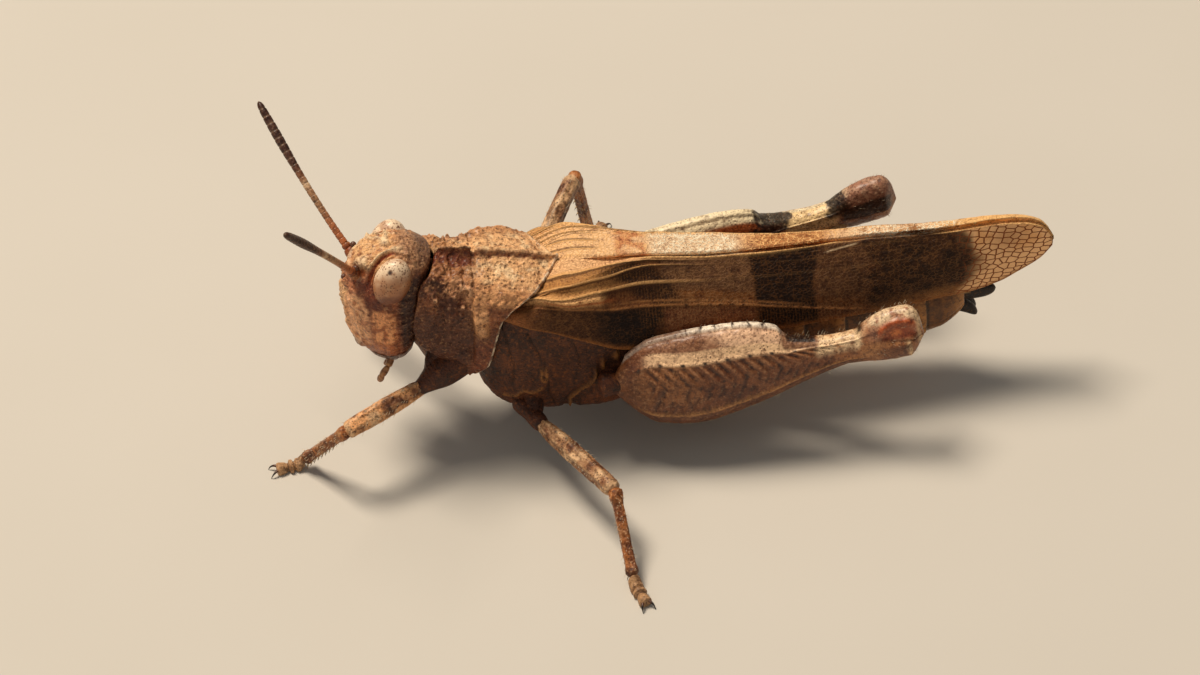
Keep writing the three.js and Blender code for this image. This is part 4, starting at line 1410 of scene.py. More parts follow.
@dataclass
class Forebody:
    """The saddle-shaped shield and the narrow segment under it, tipped nose up.

    Attributes:
        finishes: the shared finishes.
        origin: where its own frame stands on the animal.
        pitch: its turn, nose up.
        plate: the shield's thickness.
        front: X of the front edge against the reach from the middle line.
        back: X of the back edge.
        spread: Y as a share of the half width, against the reach.
        fall: how far down as a share of the depth, against the reach.
        disc_half: half the width of the upper face against X.
        lobe_half: half the width across the side lobes.
        depth: the side lobes' depth against X.
        keel: the middle keel's height against X.
        keel_width: the width of its bell curve.
    """

    finishes: Finishes
    origin: tuple = (3.9, 0.0, 10.05)
    pitch: float = math.radians(13.2)
    plate: float = 0.3
    front: Curve = Curve((0, -0.05), (0.3, -0.45), (0.5, -0.8), (0.8, -0.8), (1, -0.3))
    back: Curve = Curve(
        (0, 5.2), (0.14, 4.62), (0.3, 3.9), (0.42, 3.15), (0.55, 2.86), (0.85, 2.78), (1, 2.1),
    )
    spread: Curve = Curve(
        (0, 0), (0.12, 0.37), (0.28, 0.8), (0.38, 0.96), (0.6, 1.03), (0.8, 1.02), (1, 0.92),
    )
    fall: Curve = Curve((0, 0), (0.12, 0.035), (0.28, 0.08), (0.42, 0.2), (0.6, 0.44), (0.8, 0.73), (1, 1))
    disc_half: Curve = Curve((-0.8, 1.5), (1.3, 1.78), (1.8, 2.08), (3, 2.42), (5.2, 2.42))
    lobe_half: Curve = Curve((-0.8, 1.72), (-0.2, 1.95), (1.2, 2.12), (3, 2.42))
    depth: Curve = Curve((-0.5, 3.9), (1.15, 4.8), (2.4, 5.35), (5.2, 5.35))
    keel: Curve = Curve((0, 0.16), (1.25, 0.3), (1.42, 0.28), (1.56, 0.06), (1.75, 0.17), (5.2, 0.1))
    keel_width: float = 0.2

    def __post_init__(self) -> None:
        """Builds the shield and the segment under it."""
        self.build_shield()
        self.build_under_segment()

    def tipped(self, points: Points) -> Points:
        """Turns points of the forebody's own frame nose up and puts them on the animal.

        Args:
            points: places with the shield's middle at zero.

        Returns:
            The places in the animal's frame.
        """
        cosine, sine = math.cos(self.pitch), math.sin(self.pitch)
        x, y, z = split(points)
        return np.stack([x * cosine + z * sine, y, z * cosine - x * sine], axis=-1) + self.origin

    def sheet(self, u: Points, v: Points, keeled: float = 1.0) -> Points:
        """The shield's smooth outer face: u runs from front to back, v from the left lobe to the right one.

        The reach from the middle line is |2v - 1| to the power 1.15. It sets how far out and down a point
        lies; the keel is a bell curve across the middle line.

        Args:
            u: 0 at the front edge, 1 at the back.
            v: 0 at the left lobe's lower edge, 1 at the right one's.
            keeled: 1 with the keel, 0 without it.

        Returns:
            The points.
        """
        across = 2 * v - 1
        reach = np.abs(across) ** 1.15
        x = mixed(self.front(reach), self.back(reach), u)
        half = mixed(self.disc_half(x), self.lobe_half(x), eased(reach, 0.35, 0.6))
        y = np.sign(across) * self.spread(reach) * half
        keel = keeled * self.keel(x) * hump(y, 0, self.keel_width)
        return np.stack([x, y, keel - self.fall(reach) * self.depth(x)], axis=-1)

    def build_shield(self) -> None:
        """The shield: cross furrows, side ridges and a rough skin lifted from the smooth face."""
        rows, columns = 200, 250
        u, v = flat_grid(rows, columns)
        smooth = self.sheet(u, v)
        x, y = smooth[..., 0], smooth[..., 1]
        reach = np.abs(2 * v - 1) ** 1.15
        normal = directions(smooth)
        normal *= np.sign(normal[rows // 2, columns // 2, 2])
        disc = eased(reach, 0.3, 0.16)
        side = plateau(reach, 0.3, 0.8, 0.1)
        behind = eased(x + 0.22 * grain(smooth, 0.4, 2, 75), 1.05, 2.05)
        wall = 1.62 + 1.3 * (reach - 0.37)
        main_furrow = hump(x, np.maximum(wall - 0.22, 1.5), 0.09)
        bent = 0.1 * grain(smooth, 0.5, 2, 71)
        front_furrows = hump(x + bent, 0.55 - 0.2 * reach, 0.08) * plateau(reach, 0.1, 0.7, 0.12) * 0.6
        mid_furrow = hump(x + bent, 1.08 - 0.1 * reach, 0.08) * plateau(reach, 0.08, 0.75, 0.1) * 0.6
        front_edge = hump(u, 0.0, 0.03) * 0.6
        lower_wall = eased(reach, 0.42, 0.55)
        ragged = x + 0.14 * grain(smooth, 0.6, 3, 73)
        step_end = wall + mixed(1.5, 0.24, lower_wall)
        step_soft = mixed(0.8, 0.26, lower_wall)
        step = plateau(ragged, wall, step_end, step_soft) * plateau(reach, 0.3, 0.6, 0.08)
        recess = eased(x + 0.08 * grain(smooth, 0.4, 2, 75), wall + 0.02, wall - 0.5)
        recess = recess * eased(x, -0.1, 0.3) * side
        shoulder = hump(reach, 0.3, 0.035) * (0.25 + 0.75 * behind) * plateau(x, 0.2, 4.3, 0.4)
        crest = hump(y, 0, 0.08) * (1 - 0.6 * hump(x, 1.5, 0.12)) * eased(u, 0, 0.03)
        bumps = np.clip(grain(smooth, 0.2, 1, 11) * 1.6, 0, 1)
        callus = bumps * plateau(reach, 0.17, 0.48, 0.08) * plateau(x, -0.1, 1.4, 0.2)
        smooth_low = plateau(reach, 0.72, 0.95, 0.08) * eased(x, 1.9, 2.2)
        uneven = 0.8 + 0.5 * behind * side + 0.4 * recess
        rough = grain(smooth, 0.34, 3, 21) * (1 - 0.8 * smooth_low) * uneven
        net = np.abs(grain(smooth, 0.22, 2, 31)) * (1 - 0.8 * smooth_low)
        step_height = mixed(0.17, 0.26, lower_wall)
        lift = step_height * step - 0.15 * recess * mixed(0.5, 1.0, lower_wall) - 0.09 * main_furrow
        lift -= 0.08 * front_furrows + 0.08 * mid_furrow
        lift += 0.05 * shoulder + 0.16 * callus + 0.04 * rough - 0.05 * net
        lift += 0.06 * front_edge + 0.16 * crest + 0.05 * hump(u, 0.985, 0.02)
        lift += disc * (0.1 * plateau(x, 1.9, 4.0, 0.5) - 0.06 * eased(x, 1.5, 1.2))
        edge = np.minimum(np.minimum(u, 1 - u) * 5.2, np.minimum(v, 1 - v) * 18)
        roll = rounded(edge, 0.14)
        outer = smooth + normal * (lift - 0.05 - (1 - roll) * self.plate * 0.45)[..., None]
        plain_face = self.sheet(u, v, 0.0)
        inward = directions(plain_face)
        inward *= -np.sign(inward[rows // 2, columns // 2, 2])
        inner = plain_face + inward * (self.plate * (0.55 + 0.45 * roll) + 0.12)[..., None]

        tone = grain(smooth, 0.7, 3, 41)
        fine = grain(smooth, 0.16, 2, 43)
        flank = 1 - disc
        upper_flank = plateau(reach, 0.2, 0.4, 0.08) * (1 - behind)
        ridge_highlight_share = mixed(0.45, 1.0, lower_wall) * eased(fine, -0.7, 0.1)
        low_rear = plateau(reach, 0.42, 0.9, 0.06) * eased(x, wall + 0.35, wall + 0.6)
        # Painted shade on the near (left) half of the disc's front.
        near_front_shade = eased(reach, 0.34, 0.2) * eased(x + 0.35 * tone, 2.1, 1.1) * eased(-y, 0.02, 0.1)
        # Painted shadow of the middle keel, on its near (left) side only: broad at the front, a thin line
        # farther back.
        keel_shadow_front = plateau(y + 0.2 * fine + 0.1 * x, -0.42, -0.05, 0.14)
        keel_shadow_front = keel_shadow_front * eased(x + 0.3 * fine, 1.9, 1.2)
        rear_slope = plateau(reach, 0.1, 0.66, 0.1) * behind
        keel_shadow_rear = plateau(y + 0.03 * fine, -0.16, -0.06, 0.05) * plateau(x, 1.3, 4.4, 0.3)
        band = np.clip(keel_shadow_front + keel_shadow_rear * 0.85, 0, 1)
        rim = eased(u, 0.97, 0.988)
        dashes = eased(np.sin(reach * 62) + 0.5 * fine, -0.35, 0.0)
        ground = layered(
            plain("7C4220", x.shape),
            ("4E260F", eased(tone + 0.4 * fine, 0.0, 0.6) * flank * 0.75),
            ("A8683A", eased(-tone, 0.1, 0.7) * flank * 0.7),
            ("DE9E66", plateau(reach, 0.1, 0.62, 0.1) * behind * 0.85),
            ("8A4C24", rear_slope * eased(fine + tone, 0.2, 0.8) * 0.7),
            # Painted shade in the recess before the side ridge and in the main furrow.
            ("5E2C12", np.clip(recess * 0.7 + main_furrow * 0.4, 0, 1) * flank * 0.7),
            ("DA9C6C", upper_flank * eased(tone + fine, 0.6, -0.1) * 0.8),
            # Painted highlight on the side ridge, weaker on its upper part.
            ("F4B47C", np.clip(step * 1.2, 0, 1) * ridge_highlight_share),
            ("8A441C", low_rear * 0.85),
            ("6A3A20", eased(reach, 0.58, 0.68) * 0.7),
            # Pale bumps: partly their own colour, partly a painted glint on each.
            ("E8B284", np.clip(callus * 1.7 - 0.4, 0, 1) * 0.9),
            ("FCC48A", disc * 0.95),
            ("FFDCAA", disc * eased(grain(smooth, 0.35, 2, 47), 0.0, 0.6) * 0.75),
            ("A8622E", disc * eased(fine, 0.35, 0.8) * 0.6),
            # Painted shade on the front of the disc.
            ("A86A3A", disc * eased(x, 1.0, 0.3) * 0.55),
            # Painted shade on the near half of the disc's front.
            ("9E6036", near_front_shade * 0.85),
            # Painted shadow beside the keel, darkest farther out at the front.
            ("7A2E0E", band * (0.85 + 0.3 * fine)),
            ("64290F", keel_shadow_front * eased(-y, 0.2, 0.35) * 0.6),
            # Painted highlight on the keel's far, lit slope.
            ("FBD29C", hump(y, 0.1, 0.1) * 0.6),
            ("8A431E", smooth_low * 0.8),
            ("5A2A12", eased(reach, 0.62, 0.78) * eased(x, 2.0, 1.6) * 0.7),
            ("FFEBCB", rim * (0.35 + 0.65 * dashes)),
            ("5A3620", rim * (1 - dashes) * 0.6),
        )
        shield = Skin.wall(self.tipped(outer), self.tipped(inner), paint=ground)
        make_piece("shield", shield, self.finishes.shield, "pronotum_shell", "pronotum")

    def build_under_segment(self) -> None:
        """The segment under the shield, down to the fore legs' roots."""
        at = np.linspace(-0.7, 2.55, 60)
        top = Curve((-1.1, -1.25), (0.2, -0.95), (2.6, -1.0))
        bottom = Curve((-1.1, -3.6), (-0.2, -5.0), (0.6, -5.9), (2.6, -6.25))
        half = Curve((-1.1, 1.0), (-0.3, 1.1), (0.6, 1.25), (1.6, 1.45), (2.6, 1.6))
        rings = boxy_rings(top, bottom, half, at, 90, 3)
        rings += ring_directions(rings) * (grain(rings, 0.4, 3, 3) * 0.02)[..., None]
        clouds = eased(grain(rings, 0.8, 2, 9), 0, 0.6)
        ground = tinted(plain("7A4A2C", rings.shape[:2]), "522E1A", clouds * 0.7)
        under = Skin.loft(self.tipped(rings), paint=ground)
        make_piece("under_segment", under, self.finishes.body, "body_shell", "prothorax")


@dataclass
class Trunk:
    """The winged part of the thorax, the ringed abdomen, the tail feelers and the egg-laying valves.

    Attributes:
        finishes: the shared finishes.
        top: the upper outline against X.
        bottom: the lower outline.
        half: half the width.
        nose: X of the thorax's front end.
        waist: X where the abdomen begins.
        tail: X of its end.
        segments: how many ring plates it has.
        overlap: how high each plate's rear rim stands.
        flank_lines: the furrows of the flank as bent lines in X and Z, by the furrow's width.
        socket_line: the raised line round the hind leg's socket.
        frill_line: the wavy edge above the middle leg's.
    """

    finishes: Finishes
    top: Curve = Curve((5.1, 8.1), (7.2, 8.4), (12.1, 7.6), (16, 7.2), (20, 6.7), (25, 5.85), (26.2, 5.4))
    bottom: Curve = Curve(
        (5.1, 2.75), (6.4, 1.95), (8.0, 1.6), (10.2, 1.5), (12.1, 1.75), (20, 2.1), (24.9, 2.75),
        (26.2, 3.6),
    )
    half: Curve = Curve(
        (5.1, 1.8), (6.8, 2.45), (10, 2.6), (12.1, 2.25), (16.6, 2.1), (21, 1.8), (25, 1.35), (26.2, 0.85)
    )
    nose: float = 5.12
    waist: float = 12.1
    tail: float = 26.2
    segments: int = 8
    overlap: float = 0.09
    flank_lines: tuple = (
        (0.05, [(6.2, 7.3), (6.4, 6.4), (6.65, 5.0), (6.5, 4.0)]),
        (0.045, [(7.3, 6.9), (7.62, 5.97), (7.91, 5.22), (8.03, 4.55)]),
        (0.045, [(8.05, 4.1), (8.0, 3.3), (8.2, 2.6)]),
        (0.05, [(9.2, 6.2), (9.5, 5.0), (9.15, 4.0)]),
    )
    socket_line: tuple = (
        (11.2, 5.3), (10.6, 4.95), (10.14, 4.35), (10.05, 4.0), (9.8, 3.6), (9.3, 3.3), (8.9, 2.8),
        (8.9, 2.2),
    )
    frill_line: tuple = ((6.1, 3.2), (6.6, 3.2), (6.95, 3.6), (7.3, 3.4), (7.75, 3.65))

    def __post_init__(self) -> None:
        """Builds thorax, abdomen, tail feelers and valves."""
        self.build_thorax()
        self.build_abdomen()
        self.build_tail_feelers()
        self.build_valves()

    def build_thorax(self) -> None:
        """The thorax: plates parted by fine furrows, a breathing hole, and pale rims round the leg sockets.

        Each furrow and rim is a bell curve of the distance to a bent line on the flank.
        """
        at = mixed(self.nose, self.waist, np.linspace(0, 1, 170) ** 1.15)
        smooth = boxy_rings(self.top, self.bottom, self.half, at, 240, 4)
        x, y, z = split(smooth)
        rings = self.narrowed(smooth, 0.72 + 0.28 * rounded(x - self.nose, 0.9))
        normal = ring_directions(rings, (8.6, 0.0, 5.0))
        flank = eased(np.abs(y), 1.0, 1.6)
        furrows = sum(hump(from_line(x, z, line), 0, width) for width, line in self.flank_lines)
        furrows = np.clip(furrows, 0, 1)
        flange_gap = from_line(x, z, self.socket_line)
        flange = hump(flange_gap, 0, 0.07)
        hollow = plateau(flange_gap, 0.1, 0.4, 0.12) * eased(x - z, 5.6, 5.9)
        frill = hump(from_line(x, z, self.frill_line), 0, 0.07)
        hole = np.hypot((x - 7.88) / 0.13, (z - 4.3) / 0.22)
        ring = hump(hole, 1.0, 0.35)
        pit = eased(hole, 0.75, 0.3)
        seam = hump(np.abs(y), 0.9, 0.06) * eased(z, 2.2, 1.9)
        lift = -0.075 * furrows + 0.09 * flange - 0.1 * hollow + 0.07 * frill + 0.05 * ring - 0.09 * pit
        lift = (lift + 0.03 * grain(rings, 0.3, 3, 13)) * flank - 0.05 * seam - 0.05
        surface = rings + normal * lift[..., None]
        tone = grain(rings, 1.1, 3, 15)
        fine = grain(rings, 0.2, 2, 16)
        pale = np.clip(flange + 0.8 * frill + ring, 0, 1) * flank
        ground = layered(
            plain("5A2F18", x.shape),
            ("381A0C", eased(tone + 0.4 * fine, 0.0, 0.7) * 0.8),
            ("7A4220", eased(-tone, 0.1, 0.8) * 0.7),
            ("2E1A10", np.clip(furrows * 0.7 + hollow * 0.5 + pit, 0, 1) * flank * 0.85),
            ("C0803F", pale * 0.7),
        )
        thorax = Skin.loft(surface, paint=ground)
        make_piece("winged_thorax", thorax, self.finishes.body, "body_shell", "pterothorax")

    def narrowed(self, rings: Points, share: Points) -> Points:
        """Shrinks rings towards their middles.

        Args:
            rings: rings of the trunk.
            share: how much of its size each point keeps.

        Returns:
            The smaller rings.
        """
        x = rings[..., 0]
        middle = np.stack([x, 0 * x, (self.top(x) + self.bottom(x)) / 2], axis=-1)
        return middle + (rings - middle) * share[..., None]

    def build_abdomen(self) -> None:
        """The abdomen: each ring plate widens towards its rear rim, then steps in under the next.

        The lift is the overlap times the place along the plate, eased, minus a sharp dip at its end.
        """
        at = np.linspace(self.waist + 0.06, self.tail, 420)
        smooth = boxy_rings(self.top, self.bottom, self.half, at, 130, 2.2)
        x, z = smooth[..., 0], smooth[..., 2]
        rings = self.narrowed(smooth, 0.55 + 0.45 * rounded(self.tail - x, 0.9))
        share = (x - self.waist) / (self.tail - self.waist)
        phase = np.mod(share * self.segments, 1.0)
        rear = eased(phase, 0.55, 0.93)
        dip = eased(phase, 0.94, 0.985)
        down = ((self.top(x) + self.bottom(x)) / 2 - z) / np.maximum(self.top(x) - self.bottom(x), 0.5)
        fold = hump(down, 0.2, 0.03)
        drum = np.hypot((x - 12.75) / 0.4, (z - 5.6) / 0.55)
        lift = self.overlap * (rear - dip) - 0.06 * fold - 0.06 * eased(drum, 1.0, 0.7)
        lift += 0.012 * grain(rings, 0.3, 2, 5)
        surface = rings + ring_directions(rings, (19.0, 0.0, 4.5)) * (lift - 0.1)[..., None]
        tone = grain(rings, 0.8, 3, 19)
        fine = grain(rings, 0.2, 2, 18)
        ground = layered(
            plain("7E4E26", x.shape),
            ("54321A", eased(tone + 0.3 * fine, 0.0, 0.7) * 0.8),
            ("C8894A", rear * (1 - dip) * 0.7),
            ("33210F", np.clip(dip + hump(phase, 0.02, 0.03), 0, 1) * 0.8 + fold * 0.3),
            ("4A3218", hump(phase, 0.14, 0.12) * eased(down, -0.1, -0.35) * 0.25),
            ("B07C46", eased(down, 0.25, 0.4) * 0.6),
        )
        abdomen = Skin.loft(surface, paint=ground)
        nodes = ["abdomen_front", "abdomen_middle", "abdomen_rear"]
        make_piece("ringed_abdomen", abdomen, self.finishes.belly, "abdomen_shell", *nodes)

    def build_valves(self) -> None:
        """The upper and lower pair of valves, curved apart."""
        for name, start, end, height, curl in (
            ("valve_upper", (25.5, 4.7), (27.5, 4.4), 0.5, 0.14),
            ("valve_lower", (25.5, 4.0), (26.7, 3.35), 0.46, -0.12),
        ):
            along, angle = round_grid(40, 36)
            taper = np.sqrt(np.clip(1 - along**9, 0.004, 1)) * (1 - 0.3 * along)
            x = mixed(start[0], end[0], along)
            hook = curl * along**2.5 - 0.5 * curl * np.sin(along * math.pi)
            z = mixed(start[1], end[1], along) + np.sin(angle) * height * taper + hook
            ground = tinted(plain("4E2E1A", x.shape), "180A06", eased(along, 0.1, 0.45) * 0.95)
            pair = []
            for side in Side:
                y = side.value * 0.22 + np.cos(angle) * 0.27 * taper
                pair.append(Skin.loft(np.stack([x, y, z], axis=-1), paint=ground))
            make_piece(f"{name}_pair", Skin.joined(pair), self.finishes.belly, "abdomen_shell", name)

    def build_tail_feelers(self) -> None:
        """The two short tail feelers, straight round cones with rounded ends."""
        along = np.linspace(0, 1, 16)
        radius = mixed(0.16, 0.04, along) * np.sqrt(np.clip(1 - (2 * along - 1) ** 10, 0.05, 1))
        tails = []
        for side in Side:
            root = np.array([25.6, side.value * 0.75, 5.15])
            tip = root + [0.75, side.value * 0.1, -0.1]
            rings = tube(mixed(root, tip, along[:, None]), radius, 16)
            tails.append(Skin.loft(rings, paint=plain("9A7446", rings.shape[:2])))
        make_piece("tail_feelers", Skin.joined(tails), self.finishes.belly, "abdomen_shell")


# ------------------------------------------------------------------ wings


@dataclass
class Wings:
    """The folded fore wings, the right one over the left, and the folded fans under them.

    On a fore wing, v is 0 at the lower edge, side_share at the fold, and 1 at the inner edge on the back.

    Attributes:
        finishes: the shared finishes.
        fold_height: Z of the fold between flank and back, against X.
        fold_spread: how far the fold lies from the middle.
        edge_height: Z of the lower edge.
        edge_spread: how far the lower edge lies from the middle.
        root: X of the root against v.
        tip: X of the tip.
        side_share: v at the fold.
        bulge: how far the flank swells out.
        crown: how high the back arches over the fold.
        plate: the wing's thickness.
        lower_rim: how near the fold comes to the middle before the right wing crosses it.
        tongue_line: v of the pale tongue at the root.
        main_vein: v of the main vein.
        upper_veins: v of the long veins above it.
        gold_line: v where the left wing's back begins.
    """

    finishes: Finishes
    fold_height: Curve = Curve(
        (6.2, 8.3), (8.2, 8.74), (10.3, 9.19), (11.5, 9.15), (12.8, 9.0), (15.2, 8.7), (18.3, 8.44),
        (22, 8.36), (25.4, 8.3), (27.4, 8.4), (28.8, 8.22), (29.4, 7.98), (29.8, 7.55), (29.97, 7.15),
    )
    fold_spread: Curve = Curve(
        (6.2, 2.15), (8, 1.98), (9.3, 1.9), (10.3, 1.6), (12.8, 0.86), (15.2, 0.8), (18.4, 0.58),
        (22, 0.46), (26, 0.42), (29.97, 0.28),
    )
    edge_height: Curve = Curve(
        (6.2, 7.55), (7.9, 7.1), (9.7, 6.2), (11.2, 5.5), (14, 5.15), (20, 5.15), (25, 5.2), (26.6, 5.05),
        (27.6, 5.2), (28.4, 5.55), (29.4, 6.1), (29.97, 6.75),
    )
    edge_spread: Curve = Curve(
        (6.2, 2.3), (8, 2.6), (11.2, 2.6), (14, 2.4), (20, 1.85), (25, 1.25), (27, 0.75), (29.97, 0.3),
    )
    root: Curve = Curve((0, 5.9), (0.4, 6.3), (0.7, 7.2), (1, 8.4))
    tip: float = 29.97
    side_share: float = 0.7
    bulge: float = 0.16
    crown: float = 0.1
    plate: float = 0.2
    lower_rim: float = 0.35
    tongue_line: Curve = Curve((7.7, 0.64), (8.4, 0.565), (9.2, 0.495), (10.6, 0.475))
    main_vein: Curve = Curve(
        (6.2, 0.52), (7.7, 0.51), (8.8, 0.45), (9.8, 0.41), (11.2, 0.388), (13, 0.38), (14.7, 0.358),
        (16.8, 0.3), (18.9, 0.21), (21, 0.11), (22.3, 0.058), (26, 0.03),
    )
    upper_veins: tuple = (
        Curve((7.6, 0.66), (8.2, 0.615), (9.15, 0.554), (10, 0.546), (12.7, 0.541), (20, 0.5)),
        Curve(
            (7.4, 0.765), (8.2, 0.732), (9.1, 0.692), (10.2, 0.654), (11, 0.647), (11.9, 0.657),
            (12.8, 0.664), (20, 0.6),
        ),
        Curve(
            (7.6, 0.87), (8.5, 0.832), (9.4, 0.792), (10.45, 0.759), (11.4, 0.727), (12.3, 0.705),
            (20, 0.66),
        ),
    )
    gold_line: Curve = Curve(
        (6.2, 1.02), (9.1, 1.0), (9.9, 0.95), (10.9, 0.9), (11.6, 0.865), (12.7, 0.75), (14.9, 0.725),
        (16.4, 0.715), (17.8, 0.71), (19.1, 0.715), (21.3, 0.78), (23.4, 0.865), (25.1, 0.93),
        (27, 1.02),
    )

    def __post_init__(self) -> None:
        """Builds both fore wings and both fans."""
        for side in Side:
            self.build_fore_wing(side)
            self.build_fan(side)

    def sheet(self, side: Side, inset: float, u: Points, v: Points) -> Points:
        """A fore wing's face: v runs up the side to the fold and then over the back, u from root to tip.

        Args:
            side: which wing.
            inset: how far the face lies inside the outer one, in millimetres.
            u: 0 at the root, 1 at the tip.
            v: 0 at the lower edge, 1 at the inner edge on the back.

        Returns:
            The points.
        """
        x = mixed(self.root(v), self.tip, 1 - (1 - u) ** 1.5)
        fold = self.fold_spread(x)
        crossed = np.clip((x - 8.6) / 4.4, 0, 1) * np.maximum(fold - self.lower_rim, 0)
        inward = crossed if side is Side.RIGHT else np.zeros_like(x)
        up = np.clip(v / self.side_share, 0, 1)
        past = np.clip((v - self.side_share) / (1 - self.side_share), 0, 1)
        under = 0.26 * eased(past, 0.1, 0.5) * eased(x, 9.0, 11.0) if side is Side.LEFT else 0.0
        sunk = inset + 0.22 * eased(x - self.root(v), 1.6, 0.2) + under
        depth = np.minimum(sunk, fold + inward - 0.04)
        swell = self.bulge * np.sin(math.pi * up) * np.minimum((self.tip + 0.03 - x) / 3, 1)
        flank = mixed(self.edge_spread(x), fold, up**1.2) + swell - depth
        height = mixed(self.edge_height(x), self.fold_height(x) - depth, up)
        on_side = v <= self.side_share
        arch = self.fold_height(x) + self.crown * np.sin(math.pi * past * 0.5) - depth
        y = np.where(on_side, flank, mixed(fold - np.minimum(inset, fold - 0.02), -inward, past))
        return np.stack([x, side.value * y, np.where(on_side, height, arch)], axis=-1)

    @staticmethod
    def slanted(x: Points, v: Points, wander: Points) -> Points:
        """X that wanders with noise and grows away from mid height, for the pale tip's slanted edge."""
        return x + 0.5 * wander + 2.2 * np.abs(v - 0.4)

    @staticmethod
    def wander(points: Points) -> Points:
        """Noise between -1 and 1 in soft patches, drawn out along Y."""
        return grain(points * [1, 0.3, 1], 1.0, 3, 51)

    def on_back(self, side: Side, x: Points, v: Points) -> Points:
        """How much a point lies past the line where the flank's colours end."""
        return eased(v - self.gold(side, x), -0.01, 0.02)

    def gold(self, side: Side, x: Points) -> Points:
        """Where the flank's colours end: the left wing's bent gold line, or the right wing's fold."""
        return self.gold_line(x) if side is Side.LEFT else np.full_like(x, self.side_share)

    def tongue(self, x: Points, v: Points) -> Points:
        """How much a point lies on the pale raised tongue at the root, a bell curve along a bent line."""
        return hump(v, self.tongue_line(x) + 0.015, 0.055) * plateau(x, 7.7, 10.4, 0.5)

    def vein_places(self, side: Side, x: Points, v: Points) -> Points:
        """Places points among the long veins: 0 on the main one, 1 to 3 on those above, 4 at the gold line.

        Args:
            side: which wing.
            x: X of each point.
            v: its place up the wing.

        Returns:
            A number for each point.
        """
        lines = [self.main_vein(x), *(curve(x) for curve in self.upper_veins), self.gold(side, x)]
        gaps = [(low, np.maximum(high - low, 0.02)) for low, high in zip(lines, lines[1:])]
        return sum(np.clip((v - low) / gap, 0, 1) for low, gap in gaps)

    def shades(self, side: Side, points: Points, v: Points, fan: Points) -> tuple[Points, Points]:
        """The wing's markings: bands are plateaus along X that wander with noise, by height up the wing.

        Args:
            side: which wing.
            points: the outer face.
            v: 0 at the lower edge, 1 at the inner edge on the back.
            fan: the place among the long veins.

        Returns:
            The ground's colours and those of the fine net over it.
        """
        x = points[..., 0]
        gold = self.gold(side, x)
        main = self.main_vein(x)
        wander = self.wander(points)
        fine = grain(points * [0.8, 1, 1], 0.35, 3, 53)
        back = self.on_back(side, x, v)
        field_part = 1 - back
        panel = plateau(x, 13.3, 16.9, 0.25) + plateau(x, 19.9, 21.8, 0.4) * 0.7
        below = eased(v, main + 0.02, main - 0.05)
        wave = x + 0.35 * wander
        upper_dark = plateau(wave + 0.8 * (fan - 1.5), 11.7, 12.9, 0.7) * eased(fan, 2.9, 2.3)
        upper_dark = upper_dark * (1 - below)
        first = eased(wave, 13.05, 12.75) * eased(wave, 9.2, 11.3) * below + upper_dark * 0.85
        second = plateau(x + 0.3 * wander, 17.25, 19.6, 0.22)
        third = plateau(x + 0.7 * wander, 22.0, 26.3, 0.6) * np.clip(0.86 + 0.28 * fine, 0, 1)
        pale_back = eased(x, 12.6, 13.1) * eased(x + 0.6 * wander, 17.8, 15.8)
        tip = eased(self.slanted(x, v, wander), 26.3, 27.5)
        tongue = self.tongue(x, v)
        inner_line = self.tongue_line(x) - 0.012
        vein = hump(v, main, 0.008) * eased(x, 7.2, 8.4) * eased(x, 22.5, 21)
        twin = hump(v, main + 0.035, 0.007) * eased(x, 10.5, 12.0) * eased(x, 19.5, 18)
        dots = eased(np.sin(x * 13) + fine, 0.7, 1.1)
        streak = hump(v, 0.665 + 0.03 * (x - 20.8), 0.006) * plateau(x, 20.4, 21.4, 0.3)
